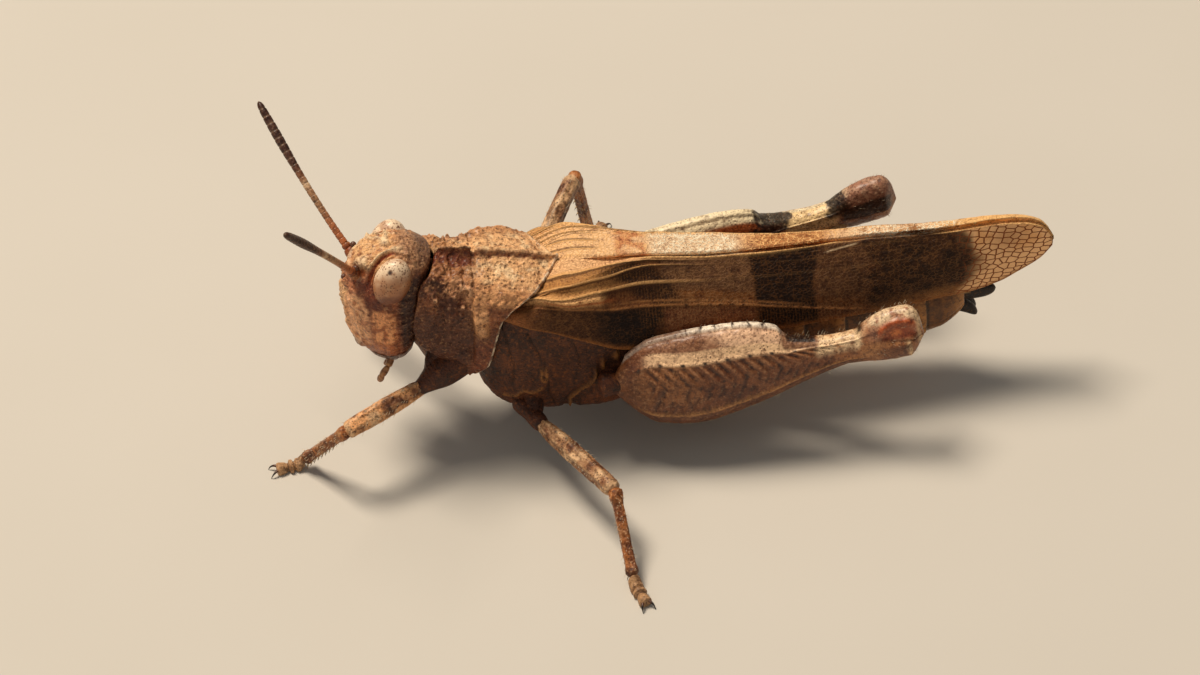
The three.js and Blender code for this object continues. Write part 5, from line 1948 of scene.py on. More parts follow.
        ground = layered(
            plain("6A4020", x.shape),
            ("F8C48E", eased(fan, 2.85, 3.1) * eased(x, 13.5, 11.5) * 0.95),
            ("C08850", plateau(fan, 1.1, 2.9, 0.2) * eased(x, 12.4, 9.6) * 0.85),
            ("683A1C", plateau(fan, 0.1, 1.0, 0.1) * eased(x, 13.2, 12.5) * 0.8),
            ("4A2A14", eased(v, main + 0.01, main - 0.02) * eased(x, 7.4, 8.6) * 0.75),
            ("A8683A", eased(x, 7.8, 6.9) * eased(v, 0.5, 0.4) * 0.8),
            ("6E4C32", panel * eased(v, main + 0.09, main + 0.16) * 0.8),
            ("845026", panel * plateau(v, main, main + 0.09, 0.03) * 0.8),
            ("865030", panel * eased(v, main, main - 0.04) * 0.7),
            ("40220F", plateau(x, 20.0, 22.2, 0.3) * field_part * 0.5),
            ("1A0A03", first * field_part * 0.97),
            ("1E0D04", second * field_part * 0.96),
            ("2A1608", third * field_part * 0.94),
            ("FCCE9E", back * 0.97),
            ("FCCA92", back * eased(x, 12.0, 10.0) * 0.8),
            ("C87440", back * plateau(x, 11.5, 12.5, 0.25) * eased(fine, -0.8, 0.2) * 0.8),
            ("BC7A44", back * eased(x + 0.4 * wander, 15.9, 18.0) * eased(x, 20.8, 20.0) * 0.95),
            ("F8D4AA", back * pale_back * 0.95),
            ("B07438", back * plateau(x, 21.2, 25.8, 0.8) * eased(wander + fine, 0.0, 0.7) * 0.7),
            ("A06A38", eased(v, 0.2, 0.06) * eased(x, 20.5, 25.0) * field_part * 0.8),
            ("FFC68C", tip * 0.97),
            ("E49C58", tip * eased(wander + 0.4 * fine, 0.2, 0.9) * eased(v, 0.25, 0.45) * 0.5),
            ("F6C27E", eased(v, 0.69, 0.71) * eased(x, 24.5, 26.0) * 0.9),
            ("9A5A28", tip * hump(x, 28.1, 0.7) * hump(v, 0.55, 0.15) * 0.5),
            ("FFC482", tongue),
            ("A8582A", hump(v, inner_line, 0.016) * plateau(x, 8.4, 10.8, 0.5) * 0.85),
            ("FFC882", hump(v, gold, 0.017) * eased(x, 25.0, 20.0) * 0.95),
            ("9A602F", hump(v, 0.02, 0.03) * (0.85 + 0.3 * fine)),
            ("CC8A48", hump(v, 0.0, 0.012) * 0.8),
            ("B87C48", np.clip(vein + twin, 0, 1) * 0.85),
            ("22100A", np.clip(vein + 0.7 * twin, 0, 1) * dots),
            ("F0D2A8", streak * field_part * 0.9),
        )
        lines = layered(
            plain("8E6034", x.shape),
            ("FFEFCF", back),
            ("F0B878", back * (1 - pale_back) * eased(x, 22.5, 20.5)),
            ("AC8058", panel * field_part * 0.5),
            ("E0A058", plateau(fan, 1.0, 3.0, 0.2) * eased(x, 12.0, 10.0) * 0.8),
        )
        return ground, tinted(lines, "8A5424", np.clip(first + second, 0, 1) * field_part * 0.6)

    def build_fore_wing(self, side: Side) -> None:
        """Builds one fore wing with its markings and the numbers that its veins follow.

        Args:
            side: which wing.
        """
        rows, columns = 330, 140
        u, v = flat_grid(rows, columns)
        outer = self.sheet(side, 0.05, u, v)
        inner = self.sheet(side, 0.05 + self.plate, u, v)
        x = outer[..., 0]
        normal = directions(outer)
        normal *= np.sign(normal[rows // 2, columns // 4, 1]) * side.value
        gold = self.gold(side, x)
        main = self.main_vein(x)
        fan = self.vein_places(side, x, v)
        base = eased(x, 16.0, 11.5)
        inside = eased(fan, 0.3, 0.6) * eased(fan, 3.7, 3.4)
        bold = inside * mixed(0.05, 1.0, base) * eased(x, 25, 23)
        if side is Side.RIGHT:
            folded = np.clip((v - self.side_share) / (1 - self.side_share), 0, 1)
            fan = fan + 4 * folded * eased(folded, 0, 0.02)
            bold = bold + plateau(folded, 0.08, 0.92, 0.06) * plateau(x, 6.0, 10.2, 0.8) * 0.9
        main_crest = hump(v, main, 0.014) * eased(x, 23, 21) * eased(x, 7.2, 8.0)
        gold_crest = hump(v, gold, 0.016) * eased(x, 28, 22)
        tongue = self.tongue(x, v)
        steps = np.cos((fan - 0.05) * FULL_TURN) * inside * base * (1 - tongue)
        sag = grain(outer, 1.6, 2, 57) * 0.03 + grain(outer, 0.3, 2, 58) * 0.01
        lift = 0.05 * main_crest + 0.05 * gold_crest + 0.22 * tongue + 0.04 * steps + sag * eased(v, 0, 0.1)
        edge = np.minimum(np.minimum(v, 1 - v) * 5.5, (1 - u) * 6)
        roll = rounded(edge, 0.1)
        outer = outer + normal * (lift - (1 - roll) * self.plate * 0.5)[..., None]
        inner = inner + normal * ((1 - roll) * self.plate * 0.4)[..., None]
        back = self.on_back(side, x, v)
        lattice_share = 0.34 + 0.1 * plateau(x, 13.3, 16.9, 0.3) - 0.1 * plateau(x, 17.3, 19.6, 0.2)
        lattice_share = lattice_share - 0.16 * plateau(x, 10.4, 12.9, 0.4)
        golden = eased(x, 12.5, 11.0) * eased(fan, 2.7, 3.1)
        lattice_share = lattice_share * (1 - back) * (1 - golden) + 0.3 * golden
        rungs = plateau(v, main - 0.16, main + 0.03, 0.03) * plateau(x, 12.6, 21.5, 0.8) * 0.5
        rungs = rungs + plateau(fan, 0.2, 3.0, 0.2) * base * (1 - tongue) * 0.55
        values = {"fan": fan, "bold": bold, "lattice_share": lattice_share, "ladder": rungs}
        values["coarse"] = back * eased(x, 26.4, 25.6) * mixed(0.55, 1.0, eased(x, 12.2, 13.0))
        tip = eased(self.slanted(x, v, self.wander(outer)), 25.9, 27.0)
        values["net"] = tip * eased(v, 0.7, 0.685)
        ground, lines = self.shades(side, outer, v, fan)
        wing = Skin.wall(outer, inner, paint=ground, line_paint=lines, **values)
        make_piece(f"fore_wing_{side.word}", wing, self.finishes.wing, "wing", f"tegmen_{side.word}")

    def build_fan(self, side: Side) -> None:
        """Builds one folded hind wing: a long body with pleated rings, radius 0.88 + 0.12 cos(12 angle).

        Args:
            side: which wing.
        """
        along, angle = round_grid(150, 144)
        x = mixed(13.0, 26.6, along)
        taper = 1 - 0.5 * along**2
        pleat = 0.88 + 0.12 * np.cos(12 * angle)
        y = side.value * (0.36 - 0.14 * along + np.cos(angle) * 0.24 * taper * pleat)
        z = self.fold_height(x) - 1.55 + np.sin(angle) * 0.4 * taper * pleat
        ground = tinted(plain("CBB084", x.shape), "8A6A44", eased(pleat, 0.85, 0.78) * 0.7)
        fan = Skin.loft(np.stack([x, y, z], axis=-1), paint=ground)
        make_piece(f"folded_fan_{side.word}", fan, self.finishes.fan, "hindwing", f"hindwing_{side.word}")


# ------------------------------------------------------------------ legs


@dataclass
class Limb:
    """A straight length of leg with its own directions.

    Attributes:
        start: where it begins.
        end: where it points to.
        above: how far it reaches upwards of its middle line, against the share of its length times `scale`.
        below: how far downwards.
        half: how far sideways.
        lean: its turn about its own length.
        length: its length where it runs past `end`.
        scale: 1 where the curves' positions are shares of the length, or the length where they aren't.
        exponent: 2 for a round section, more for flatter sides.
    """

    start: Points
    end: Points
    above: Curve
    below: Curve
    half: Curve
    lean: float = 0.0
    length: float = 0.0
    scale: float = 1.0
    exponent: float = 2.4

    def __post_init__(self) -> None:
        """Works out the three directions: forwards, level across it, and the one at right angles to both."""
        run = self.end - self.start
        self.length = self.length or float(np.linalg.norm(run))
        self.forwards = unit(run)
        level = unit(np.cross([0.0, 0.0, 1.0], self.forwards))
        raised = np.cross(self.forwards, level)
        self.sideways = level * math.cos(self.lean) - raised * math.sin(self.lean)
        self.upwards = np.cross(self.forwards, self.sideways)

    def surface(self, along: Points, angle: Points, swell: Union[float, Points] = 0.0) -> Points:
        """Points of its skin.

        Args:
            along: the share of the length.
            angle: the angle round it: 0 at the side, a quarter turn at the top.
            swell: how much farther out the skin lies, in millimetres.

        Returns:
            The points.
        """
        at = along * self.scale
        sine = np.sin(angle)
        high = np.where(sine > 0, self.above(at), self.below(at)) + swell
        wide = squared(np.cos(angle), self.exponent) * (self.half(at) + swell)
        ahead = self.start + (along * self.length)[..., None] * self.forwards
        return ahead + wide[..., None] * self.sideways + (sine * high)[..., None] * self.upwards

    def grid(self, rows: int, sides: int) -> tuple[Points, Points]:
        """The share of the length, with rows closer at both ends, and the angle round it, for a skin."""
        share, angle = round_grid(rows, sides)
        return mixed(share, (1 - np.cos(share * math.pi)) / 2, 0.5), angle

    def bristles(
        self, along: Points, angle: Points, length: Points, radius: float, slope: float = 0.8
    ) -> Skin:
        """Bristles on its skin: each points outwards plus `slope` times forwards, and bends that way.

        Args:
            along: the share of the length at each root.
            angle: the angle round the limb at each root.
            length: each bristle's length.
            radius: half a bristle's width at its root.
            slope: how much it leans towards the limb's end.

        Returns:
            The bristles.
        """
        roots = self.surface(along, angle, -0.03)
        middle = self.start + (along * self.length)[:, None] * self.forwards
        outward = unit(roots - middle)
        heading = unit(outward + slope * self.forwards)
        tips = roots + heading * length[:, None]
        tips[:, 2] = np.maximum(tips[:, 2], 0.02)
        bend = (outward - heading) * length[:, None] * 0.06
        return Skin.spikes(roots, tips, radius, bend)


COXA_ABOVE = Curve((0, 0.5), (0.4, 0.52), (0.75, 0.46), (0.95, 0.4), (1, 0.3))
JOINT_ABOVE = Curve((0, 0.4), (0.2, 0.66), (0.5, 0.6), (0.82, 0.42), (1, 0.3))
WALKING_ABOVE = Curve((0, 0.2), (0.15, 0.38), (0.5, 0.5), (0.85, 0.46), (0.94, 0.42), (0.98, 0.32), (1, 0.15))
WALKING_BELOW = Curve((0, 0.2), (0.2, 0.36), (0.6, 0.42), (0.85, 0.38), (0.94, 0.36), (0.98, 0.3), (1, 0.15))
WALKING_HALF = Curve((0, 0.18), (0.2, 0.34), (0.6, 0.38), (0.87, 0.36), (0.96, 0.36), (1, 0.18))
TIBIA_EVEN = Curve((0, 0.2), (0.025, 0.3), (0.09, 0.32), (0.2, 0.25), (0.85, 0.25), (0.95, 0.3), (1, 0.18))
JUMPER_ABOVE = Curve(
    (0, 0.3), (0.8, 1.2), (2.05, 1.76), (3.8, 1.86), (5.2, 1.82), (6.2, 1.7), (6.9, 1.5), (7.3, 1.3),
    (7.5, 1.0), (8.1, 0.78), (8.8, 0.62), (9.5, 0.54), (10.4, 0.6), (10.9, 0.88), (11.4, 1.14),
    (11.9, 1.3), (12.4, 1.36), (12.8, 1.36), (13.05, 1.26), (13.2, 1.05), (13.3, 0.75), (13.35, 0.2),
)
JUMPER_BELOW = Curve(
    (0, 0.4), (0.45, 1.0), (1.7, 2.12), (3.4, 2.42), (6.1, 1.94), (8.4, 1.25), (10.2, 0.88), (11.4, 0.98),
    (12.7, 0.92), (13.35, 0.2),
)
JUMPER_HALF = Curve(
    (0, 0.3), (1, 0.66), (3.5, 0.85), (7, 0.7), (10, 0.5), (11.8, 0.64), (12.8, 0.64), (13.35, 0.2)
)
TARSUS_WIDTH = Curve(
    (0, 0.16), (0.05, 0.27), (0.3, 0.31), (0.37, 0.2), (0.4, 0.2), (0.45, 0.3), (0.53, 0.31), (0.585, 0.19),
    (0.61, 0.18), (0.7, 0.24), (0.92, 0.29), (0.98, 0.24), (1, 0.1),
)
ANKLE_HEIGHT = 0.45
FOOT_HEIGHT = 0.18


@dataclass
class Leg:
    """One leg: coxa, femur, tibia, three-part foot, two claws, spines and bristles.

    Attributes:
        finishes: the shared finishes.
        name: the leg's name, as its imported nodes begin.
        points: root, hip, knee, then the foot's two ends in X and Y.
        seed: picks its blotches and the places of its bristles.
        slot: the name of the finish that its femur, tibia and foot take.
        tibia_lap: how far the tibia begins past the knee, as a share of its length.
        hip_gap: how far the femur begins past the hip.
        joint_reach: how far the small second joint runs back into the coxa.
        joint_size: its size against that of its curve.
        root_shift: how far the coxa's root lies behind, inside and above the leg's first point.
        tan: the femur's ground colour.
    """

    finishes: Finishes
    name: str
    points: Sequence[tuple]
    seed: int
    slot: str = "walking_leg"
    tibia_lap: float = -0.03
    hip_gap: float = 0.14
    joint_reach: float = 0.5
    joint_size: float = 0.8
    root_shift: tuple = (0.2, 0.3, 0.5)
    tan: str = "B07848"

    def __post_init__(self) -> None:
        """Places the joints and builds every part."""
        self.root, self.hip, self.knee = (np.array(point, float) for point in self.points[:3])
        self.ankle = np.array([*self.points[3], ANKLE_HEIGHT])
        self.toe = np.array([*self.points[4], FOOT_HEIGHT])
        self.random = np.random.default_rng(self.seed)
        self.hairs: list[Skin] = []
        self.spines: list[Skin] = []
        self.build_coxa()
        self.build_femur()
        self.build_tibia()
        self.build_foot()
        self.finish_hairs()

    def make_part(self, piece: str, node: str, points: Points, ground: Points) -> None:
        """Makes the piece of one part from its rings.

        Args:
            piece: the end of the piece's name.
            node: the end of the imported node's name.
            points: the rings.
            ground: their colours.
        """
        skin = Skin.loft(points, paint=ground)
        material = getattr(self.finishes, self.slot)
        make_piece(f"{self.name}_{piece}", skin, material, self.slot, f"{self.name}_{node}")

    def add_hairs(
        self,
        limb: Limb,
        count: int,
        reach: tuple[float, float],
        lengths: tuple[float, float],
        radius: float,
        slope: float = 0.8,
        turns: Optional[Callable[[int], Points]] = None,
    ) -> None:
        """Scatters bristles on a limb.

        Args:
            limb: the limb.
            count: how many.
            reach: the shares of the length between which they stand.
            lengths: the shortest and the longest.
            radius: half a bristle's width at its root.
            slope: how much they lean towards the limb's end.
            turns: draws their angles round the limb, which are even all round without it.
        """
        where = self.random.uniform(*reach, count)
        turn = turns(count) if turns else self.random.uniform(0, FULL_TURN, count)
        length = self.random.uniform(*lengths, count)
        self.hairs.append(limb.bristles(where, turn, length, radius, slope))

    @property
    def thigh_start(self) -> Points:
        """Where the femur begins, a little way out from the hip."""
        return self.hip + (self.knee - self.hip) * self.hip_gap / np.linalg.norm(self.knee - self.hip)

    def thigh(self) -> Limb:
        """The femur's shape."""
        return Limb(self.thigh_start, self.knee, WALKING_ABOVE, WALKING_BELOW, WALKING_HALF)

    def shin(self) -> Limb:
        """The tibia's shape."""
        start = mixed(self.knee, self.ankle, self.tibia_lap)
        return Limb(start, mixed(self.ankle, start, 0.02), TIBIA_EVEN, TIBIA_EVEN, TIBIA_EVEN)

    def build_coxa(self) -> None:
        """The coxa, a cone towards the hip, and the small second joint that carries the femur."""
        inward = -np.sign(self.root[1])
        root = self.root + np.array([1, inward, 1]) * self.root_shift
        limb = Limb(root, self.hip, COXA_ABOVE, COXA_ABOVE, COXA_ABOVE)
        along, angle = limb.grid(50, 48)
        points = limb.surface(along, angle)
        points = limb.surface(along, angle, 0.03 * grain(points, 0.3, 2, 4) - 0.02)
        thigh = self.thigh()
        inside = self.hip - thigh.forwards * self.joint_reach + [0, 0, 0.3 * self.joint_reach]
        second = Limb(inside, thigh.start + thigh.forwards * 0.5, JOINT_ABOVE, JOINT_ABOVE, JOINT_ABOVE)
        along, angle = second.grid(30, 48)
        fatter = (self.joint_size - 1) * 0.6 * eased(along, 0.95, 0.5)
        joint = second.surface(along, angle, fatter)
        parts = []
        for place in (points, joint):
            clouds = eased(grain(place, 0.5, 2, 7), 0.0, 0.6)
            ground = tinted(plain("5A2E18", place.shape[:2]), "3C1D0E", clouds * 0.8)
            parts.append(Skin.loft(place, paint=ground))
        skin = Skin.joined(parts)
        make_piece(f"{self.name}_coxa_shell", skin, self.finishes.body, "body_shell", f"{self.name}_coxa")

    def build_femur(self) -> None:
        """A walking femur: six soft ridges, dark blotches and a paler knee with rounded lobes."""
        limb = self.thigh()
        along, angle = limb.grid(120, 90)
        place = limb.surface(along, angle)
        height = np.sin(angle)
        ridges = np.cos(6 * (angle - math.pi / 2)) * plateau(along, 0.12, 0.86, 0.1)
        knee = hump(along, 0.94, 0.035) * hump(height, -0.1, 0.5)
        lift = 0.03 * ridges + 0.06 * knee + 0.018 * grain(place, 0.25, 2, 3) - 0.01
        blotch = grain(place, 0.6, 3, self.seed)
        fine = grain(place, 0.2, 2, self.seed + 7)
        streak = hump(along, 0.5, 0.05) * eased(height, -0.6, 0.6) * eased(blotch, -0.4, 0.3)
        ground = layered(
            plain(self.tan, along.shape),
            ("8A5230", eased(blotch, -0.2, 0.5) * 0.7),
            ("4A2010", eased(blotch + 0.3 * fine, 0.35, 0.75) * 0.8),
            ("F0C494", eased(-blotch, 0.25, 0.8) * 0.8),
            ("DDB88C", eased(ridges, 0.5, 1.0) * eased(fine, -0.2, 0.5) * 0.5),
            ("5A3220", streak * 0.7),
            ("D9B084", hump(along, 0.97, 0.025) * 0.6),
        )
        self.make_part("femur_shell", "femur", limb.surface(along, angle, lift), ground)
        self.add_hairs(limb, 110, (0.12, 0.97), (0.16, 0.34), 0.013, turns=self.near_ridges)

    def near_ridges(self, count: int) -> Points:
        """Draws angles near five of the femur's ridges."""
        ridges = [0.3, 1.57, 2.84, -1.2, -1.9]
        return self.random.choice(ridges, count) + self.random.normal(0, 0.12, count)

    def build_tibia(self) -> None:
        """A walking tibia: red-brown with soft dark clouds, and two rows of small spines below."""
        limb = self.shin()
        along, angle = limb.grid(120, 60)
        place = limb.surface(along, angle)
        height = np.sin(angle)
        ridges = np.cos(4 * (angle - math.pi / 4)) * plateau(along, 0.12, 0.9, 0.06)
        points = limb.surface(along, angle, 0.022 * ridges + 0.014 * grain(place, 0.2, 2, 3) - 0.01)
        blotch = grain(place, 0.6, 3, self.seed + 3)
        clouds = hump(along, 0.16, 0.05) + hump(along, 0.5, 0.08) + eased(along, 0.86, 0.97)
        ground = layered(
            plain("B06A34", along.shape),
            ("6E381A", eased(blotch, -0.1, 0.5) * 0.85),
            ("D2A070", eased(-blotch, 0.2, 0.8) * 0.6),
            ("482818", clouds * (0.6 + 0.4 * blotch) * 0.8),
            ("4E2C18", hump(height, 0.2, 0.3) * eased(blotch, 0.0, 0.5) * 0.6),
        )
        self.make_part("tibia_shell", "tibia", points, ground)
        spaced = np.linspace(0.35, 0.97, 8)
        for turn in (-1.05, -2.09):
            self.spines.append(limb.bristles(spaced, np.full(8, turn), 0.22 + 0.1 * spaced, 0.04, 1.1))
        self.add_hairs(limb, 90, (0.05, 0.97), (0.12, 0.26), 0.012)

    def build_foot(self) -> None:
        """The foot: three padded parts in a row, flat where they meet the ground, and two claws."""
        heading = unit((self.toe - self.ankle) * [1, 1, 0])
        across = np.array([-heading[1], heading[0], 0.0])
        along, angle = round_grid(110, 48)
        width = TARSUS_WIDTH(along)
        middle = mixed(ANKLE_HEIGHT, FOOT_HEIGHT, eased(along, 0, 0.25))
        points = mixed(self.ankle, self.toe, along[..., None])
        points = points + (np.cos(angle) * width)[..., None] * across
        points[..., 2] = np.maximum(middle + np.sin(angle) * width, 0)
        ground = layered(
            plain("B88C62", along.shape),
            ("6E4428", eased(grain(points, 0.3, 2, self.seed), 0, 0.6) * 0.6),
            ("4A2C1C", (hump(along, 0.385, 0.02) + hump(along, 0.6, 0.02)) * 0.8),
            ("E0C8A0", eased(points[..., 2], 0.12, 0.0) * 0.5),
        )
        self.make_part("foot", "tarsus", points, ground)
        claws = Skin.joined(self.claw(heading, across * side.value) for side in Side)
        make_piece(f"{self.name}_claws", claws, self.finishes.claw, self.slot)

    def claw(self, heading: Points, across: Points) -> Skin:
        """Makes a claw: a thinning tube along a curve that runs out, up and down to the ground.

        Args:
            heading: the foot's direction.
            across: the level direction in which the claw bends away.

        Returns:
            The claw.
        """
        share = np.linspace(0, 1, 14)
        base = self.toe - heading * 0.14 + across * 0.08 + [0, 0, 0.06]
        bend = base + heading * 0.3 + across * 0.2 + [0, 0, 0.1]
        tip = base + heading * 0.44 + across * 0.2 + [0, 0, 0.02 - base[2]]
        path = bezier([base, bend, tip], share)
        rings = tube(path, mixed(0.085, 0.014, share**0.8), 12)
        rings[..., 2] = np.maximum(rings[..., 2], 0.0)
        return Skin.loft(rings, along=np.broadcast_to(share[:, None], rings.shape[:2]))

    def finish_hairs(self) -> None:
        """Makes one piece of the leg's bristles and one of its spines."""
        make_piece(f"{self.name}_bristles", Skin.joined(self.hairs), self.finishes.bristle, self.slot)
        make_piece(f"{self.name}_spines", Skin.joined(self.spines), self.finishes.spine, self.slot)


@dataclass
class JumpingLeg(Leg):
    """A hind leg: a deep femur with a herringbone flank, and a long spiny tibia folded under it.

    Attributes:
        slot: the name of the finish that its femur, tibia and foot take.
        lean: the femur's turn about its own length.
        far: whether it has the markings of the far femur.
        full_length: the femur's length with the knee.
    """

    slot: str = "jumping_leg"
    lean: float = 0.0
    far: bool = False
    full_length: float = 13.35

    def thigh(self) -> Limb:
        """The femur's shape, whose curves are in millimetres and run past the knee joint."""
        shapes = (JUMPER_ABOVE, JUMPER_BELOW, JUMPER_HALF)
        return Limb(self.thigh_start, self.knee, *shapes, self.lean, self.full_length, self.full_length, 2.6)

    def build_femur(self) -> None:
        """The femur: keels above and below, two side ridges, slanting ribs between them, and a lobed knee.

        The ribs are a cosine of the length plus the distance from the middle of the flank. The knee's
        crescent is where a squashed distance from a point low on the knee is about 1.
        """
        limb = self.thigh()
        along, angle = limb.grid(320, 150)
        s = along * self.full_length
        smooth = limb.surface(along, angle)
        height = np.sin(angle)
        outer = -1 if "left" in self.name else 1
        facing = eased(np.cos(angle) * outer, -0.15, 0.1)
        shank = plateau(s, 1.2, 10.4, 0.6)
        upper_line = 0.42 + 0.1 * eased(s, 3.0, 1.6) + 0.14 * eased(s, 7.0, 8.8)
        upper_line = upper_line - 0.07 * plateau(s, 4.0, 7.2, 1.5)
        lower_line = -0.74 + 0.12 * eased(s, 6, 10)
        upper_ridge = hump(height, upper_line, 0.045) * shank
        lower_ridge = hump(height, lower_line, 0.045) * shank
        crest = hump(height, 1.0, 0.014) * plateau(s, 0.8, 7.4, 0.3)
        keel = hump(height, -1.0, 0.03) * plateau(s, 0.8, 10.6, 0.5)
        middle = (upper_line + lower_line) / 2
        flank = plateau(height, lower_line + 0.06, upper_line - 0.06, 0.05) * shank
        flank = flank * plateau(s, 1.8, 9.2, 0.6)
        ribs = np.cos(FULL_TURN * (s / 0.5 + np.abs(height - middle) * 2.6)) * flank
        knee = eased(s, 10.7, 11.4)
        bow = np.hypot((s - 12.35) / 1.05, (height - 0.08) / 0.56)
        crescent = hump(bow, 1.0, 0.2) * eased(height, 0.12, 0.3) * facing * eased(s, 11.3, 11.7)
        inside = eased(bow, 0.86, 0.6) * eased(height, 0.05, 0.15) * knee * facing
        gap = hump(height, 0.02 - 0.1 * (s - 12.0), 0.06) * plateau(s, 12.0, 13.3, 0.3) * facing
        lobe = eased(s, 10.7, 12.0) * eased(s, 12.85, 12.65) * eased(height, -0.05, -0.25) * facing
        lift = 0.05 * upper_ridge + 0.05 * lower_ridge + 0.14 * crest + 0.05 * keel + 0.025 * ribs
        lift += 0.12 * crescent - 0.1 * inside - 0.05 * gap - 0.02 * flank + 0.07 * lobe
        lift += 0.015 * grain(smooth, 0.25, 2, 9) - 0.04
        points = limb.surface(along, angle, lift)

        blotch = grain(smooth, 0.9, 3, self.seed)
        fine = grain(smooth, 0.22, 2, self.seed + 1)
        above = eased(height, upper_line - 0.03, upper_line + 0.03)
        # Painted shade on the upper face near the root.
        brown = eased(height, upper_line + 0.2, upper_line + 0.3) * plateau(s + 0.6 * blotch, 1.5, 4.3, 0.9)
        band = plateau(height, upper_line + 0.01, upper_line + 0.27, 0.06) * plateau(s, 2.1, 10.4, 0.8)
        dot = np.hypot((np.mod(s / 0.95 + 0.2, 1.0) - 0.5) * 0.95 / 0.1, (height - upper_line) / 0.045)
        dashes = eased(np.sin(s * 9.5 + 0.8 * fine), 0.78, 0.95)
        neck = plateau(s, 8.9, 10.6, 0.3) * eased(height, -0.3, 0.2)
        crescent_highlight = np.hypot((s - 12.2) / 0.35, (height - 0.3) / 0.16)
        rim = hump(s, 12.7, 0.1) * eased(height, 0.0, -0.1) + hump(s, 13.2, 0.1)
        ground = layered(
            plain("A4663A", s.shape),
            ("643418", eased(blotch, 0.0, 0.6) * 0.75),
            ("CC8F58", eased(-blotch, 0.1, 0.8) * 0.6),
            ("DE9A5C", plateau(s, 1.2, 3.4, 0.6) * plateau(height, -0.4, 0.4, 0.15) * 0.6),
            ("FACCA4", above * plateau(s, 2.0, 8.0, 0.8) * (0.9 - 0.5 * np.clip(blotch, 0, 1))),
            # Painted shade on the upper face near the root and over the root end.
            ("84502E", brown * 0.9),
            ("6A3A1E", eased(s, 2.6, 1.0) * 0.75),
            ("70391A", flank * 0.65),
            ("D09060", eased(ribs, 0.2, 1.0) * flank * eased(height, middle - 0.1, upper_line) * 0.75),
            ("3A180A", eased(-ribs, 0.2, 0.9) * flank * eased(fine, -0.2, 0.2) * 0.85),
            ("54260F", plateau(height, lower_line, -0.2, 0.2) * flank * eased(fine, 0.1, 0.5) * 0.6),
            # The pale band above the upper side ridge: its own colour, painted brighter as a painted
            # highlight.
            ("FFD2A2", band),
            ("22100A", eased(dot, 1.2, 0.7) * shank * 0.95),
            ("E8A860", np.clip(keel + 0.5 * lower_ridge, 0, 1) * 0.85),
            ("5C2E14", eased(height, lower_line, lower_line - 0.08) * shank * 0.8),
            ("FFF2DC", crest * 0.95),
            ("2E1A10", crest * dashes * plateau(s, 3.0, 7.3, 0.2)),
            ("6A3A20", crest * eased(s, 4.0, 3.0) * 0.85),
            # The pale neck before the knee: its own colour, partly a painted highlight running on from the
            # band.
            ("FFDAAA", neck * eased(fine, 0.9, -0.2) * 0.95),
            ("7A4828", plateau(s, 7.5, 8.8, 0.2) * eased(height, 0.5, 0.62) * 0.85),
            ("1C0C06", plateau(s, 7.65, 8.75, 0.12) * eased(height, 0.84, 0.92) * 0.95),
            ("1C0C06", hump(s, 10.72, 0.17) * eased(height, 0.78, 0.93) * 0.95),
            ("B07A5A", knee * eased(height, 0.0, 0.3) * 0.85),
            ("FFE0B6", knee * eased(height, 0.6, 0.85) * eased(fine, -0.7, 0.2) * 0.9),
            # Painted shadow under the knee's pale top.
            ("5A2E20", knee * hump(height, 0.5, 0.09) * facing * 0.75),
            ("6E3A1E", lobe * 0.85),
            ("B4521E", crescent),
            ("A84A22", inside * 0.85),
            # Painted highlight inside the knee's crescent.
            ("F08A4A", eased(crescent_highlight, 1.1, 0.3) * facing * 0.9),
            ("F0C894", (rim + hump(height, -0.95, 0.06) * lobe) * 0.8 * facing),
            # Painted shade in the groove between the knee's lobes.
            ("4E2614", gap * 0.35),
        )
        if self.far:
            ground = self.far_markings(ground, s, height, np.cos(angle) * outer, fine)
        self.make_part("femur_shell", "femur", points, ground)
        self.add_hairs(limb, 220, (0.08, 0.97), (0.12, 0.3), 0.008, 0.7, self.near_keels)
        self.add_hairs(limb, 80, (0.84, 0.985), (0.1, 0.24), 0.008, 0.9)

    def near_keels(self, count: int) -> Points:
        """Draws angles near the lower and the upper keel."""
        turn = np.where(self.random.random(count) < 0.5, -math.pi / 2, math.pi / 2)
        return turn + self.random.normal(0, 0.14, count)

    def far_markings(
        self, ground: Points, s: Points, height: Points, outward: Points, fine: Points
    ) -> Points:
        """Lays on the far femur's cream top with black patches, and its orange inner face.

        Args:
            ground: the colours so far.
            s: millimetres along it.
            height: -1 at the lower edge to 1 at the upper one.
            outward: the cosine round it, 1 at the outer side.
            fine: a fine noise.

        Returns:
            The colours.
        """
        inner = eased(outward, 0.3, 0.0)
        slanted = s + 0.9 * (1 - height)
        ground = layered(
            ground,
            ("FFEBC0", eased(height, 0.5, 0.7) * eased(s, 11.0, 10.6) * 0.97),
            ("FFD89A", inner * plateau(s, 8.4, 10.5, 0.3) * 0.9),
            ("C65E1A", inner * eased(height, 0.9, 0.8) * eased(s, 8.6, 8.1) * 0.95),
            ("1E0C06", plateau(slanted + 0.3 * fine, 7.5, 8.7, 0.25) * eased(height, 0.0, 0.4) * 0.95),
            ("1E0C06", plateau(s + 0.2 * fine, 10.45, 11.2, 0.2) * eased(height, 0.1, 0.5) * 0.95),
            ("A06A50", eased(s, 11.1, 11.5) * eased(height, 0.3, 0.5) * 0.85),
        )
        knee = inner * plateau(s, 11.0, 13.0, 0.25) * plateau(height, -0.1, 0.45, 0.12)
        return tinted(ground, "2E120A", knee * 0.95)

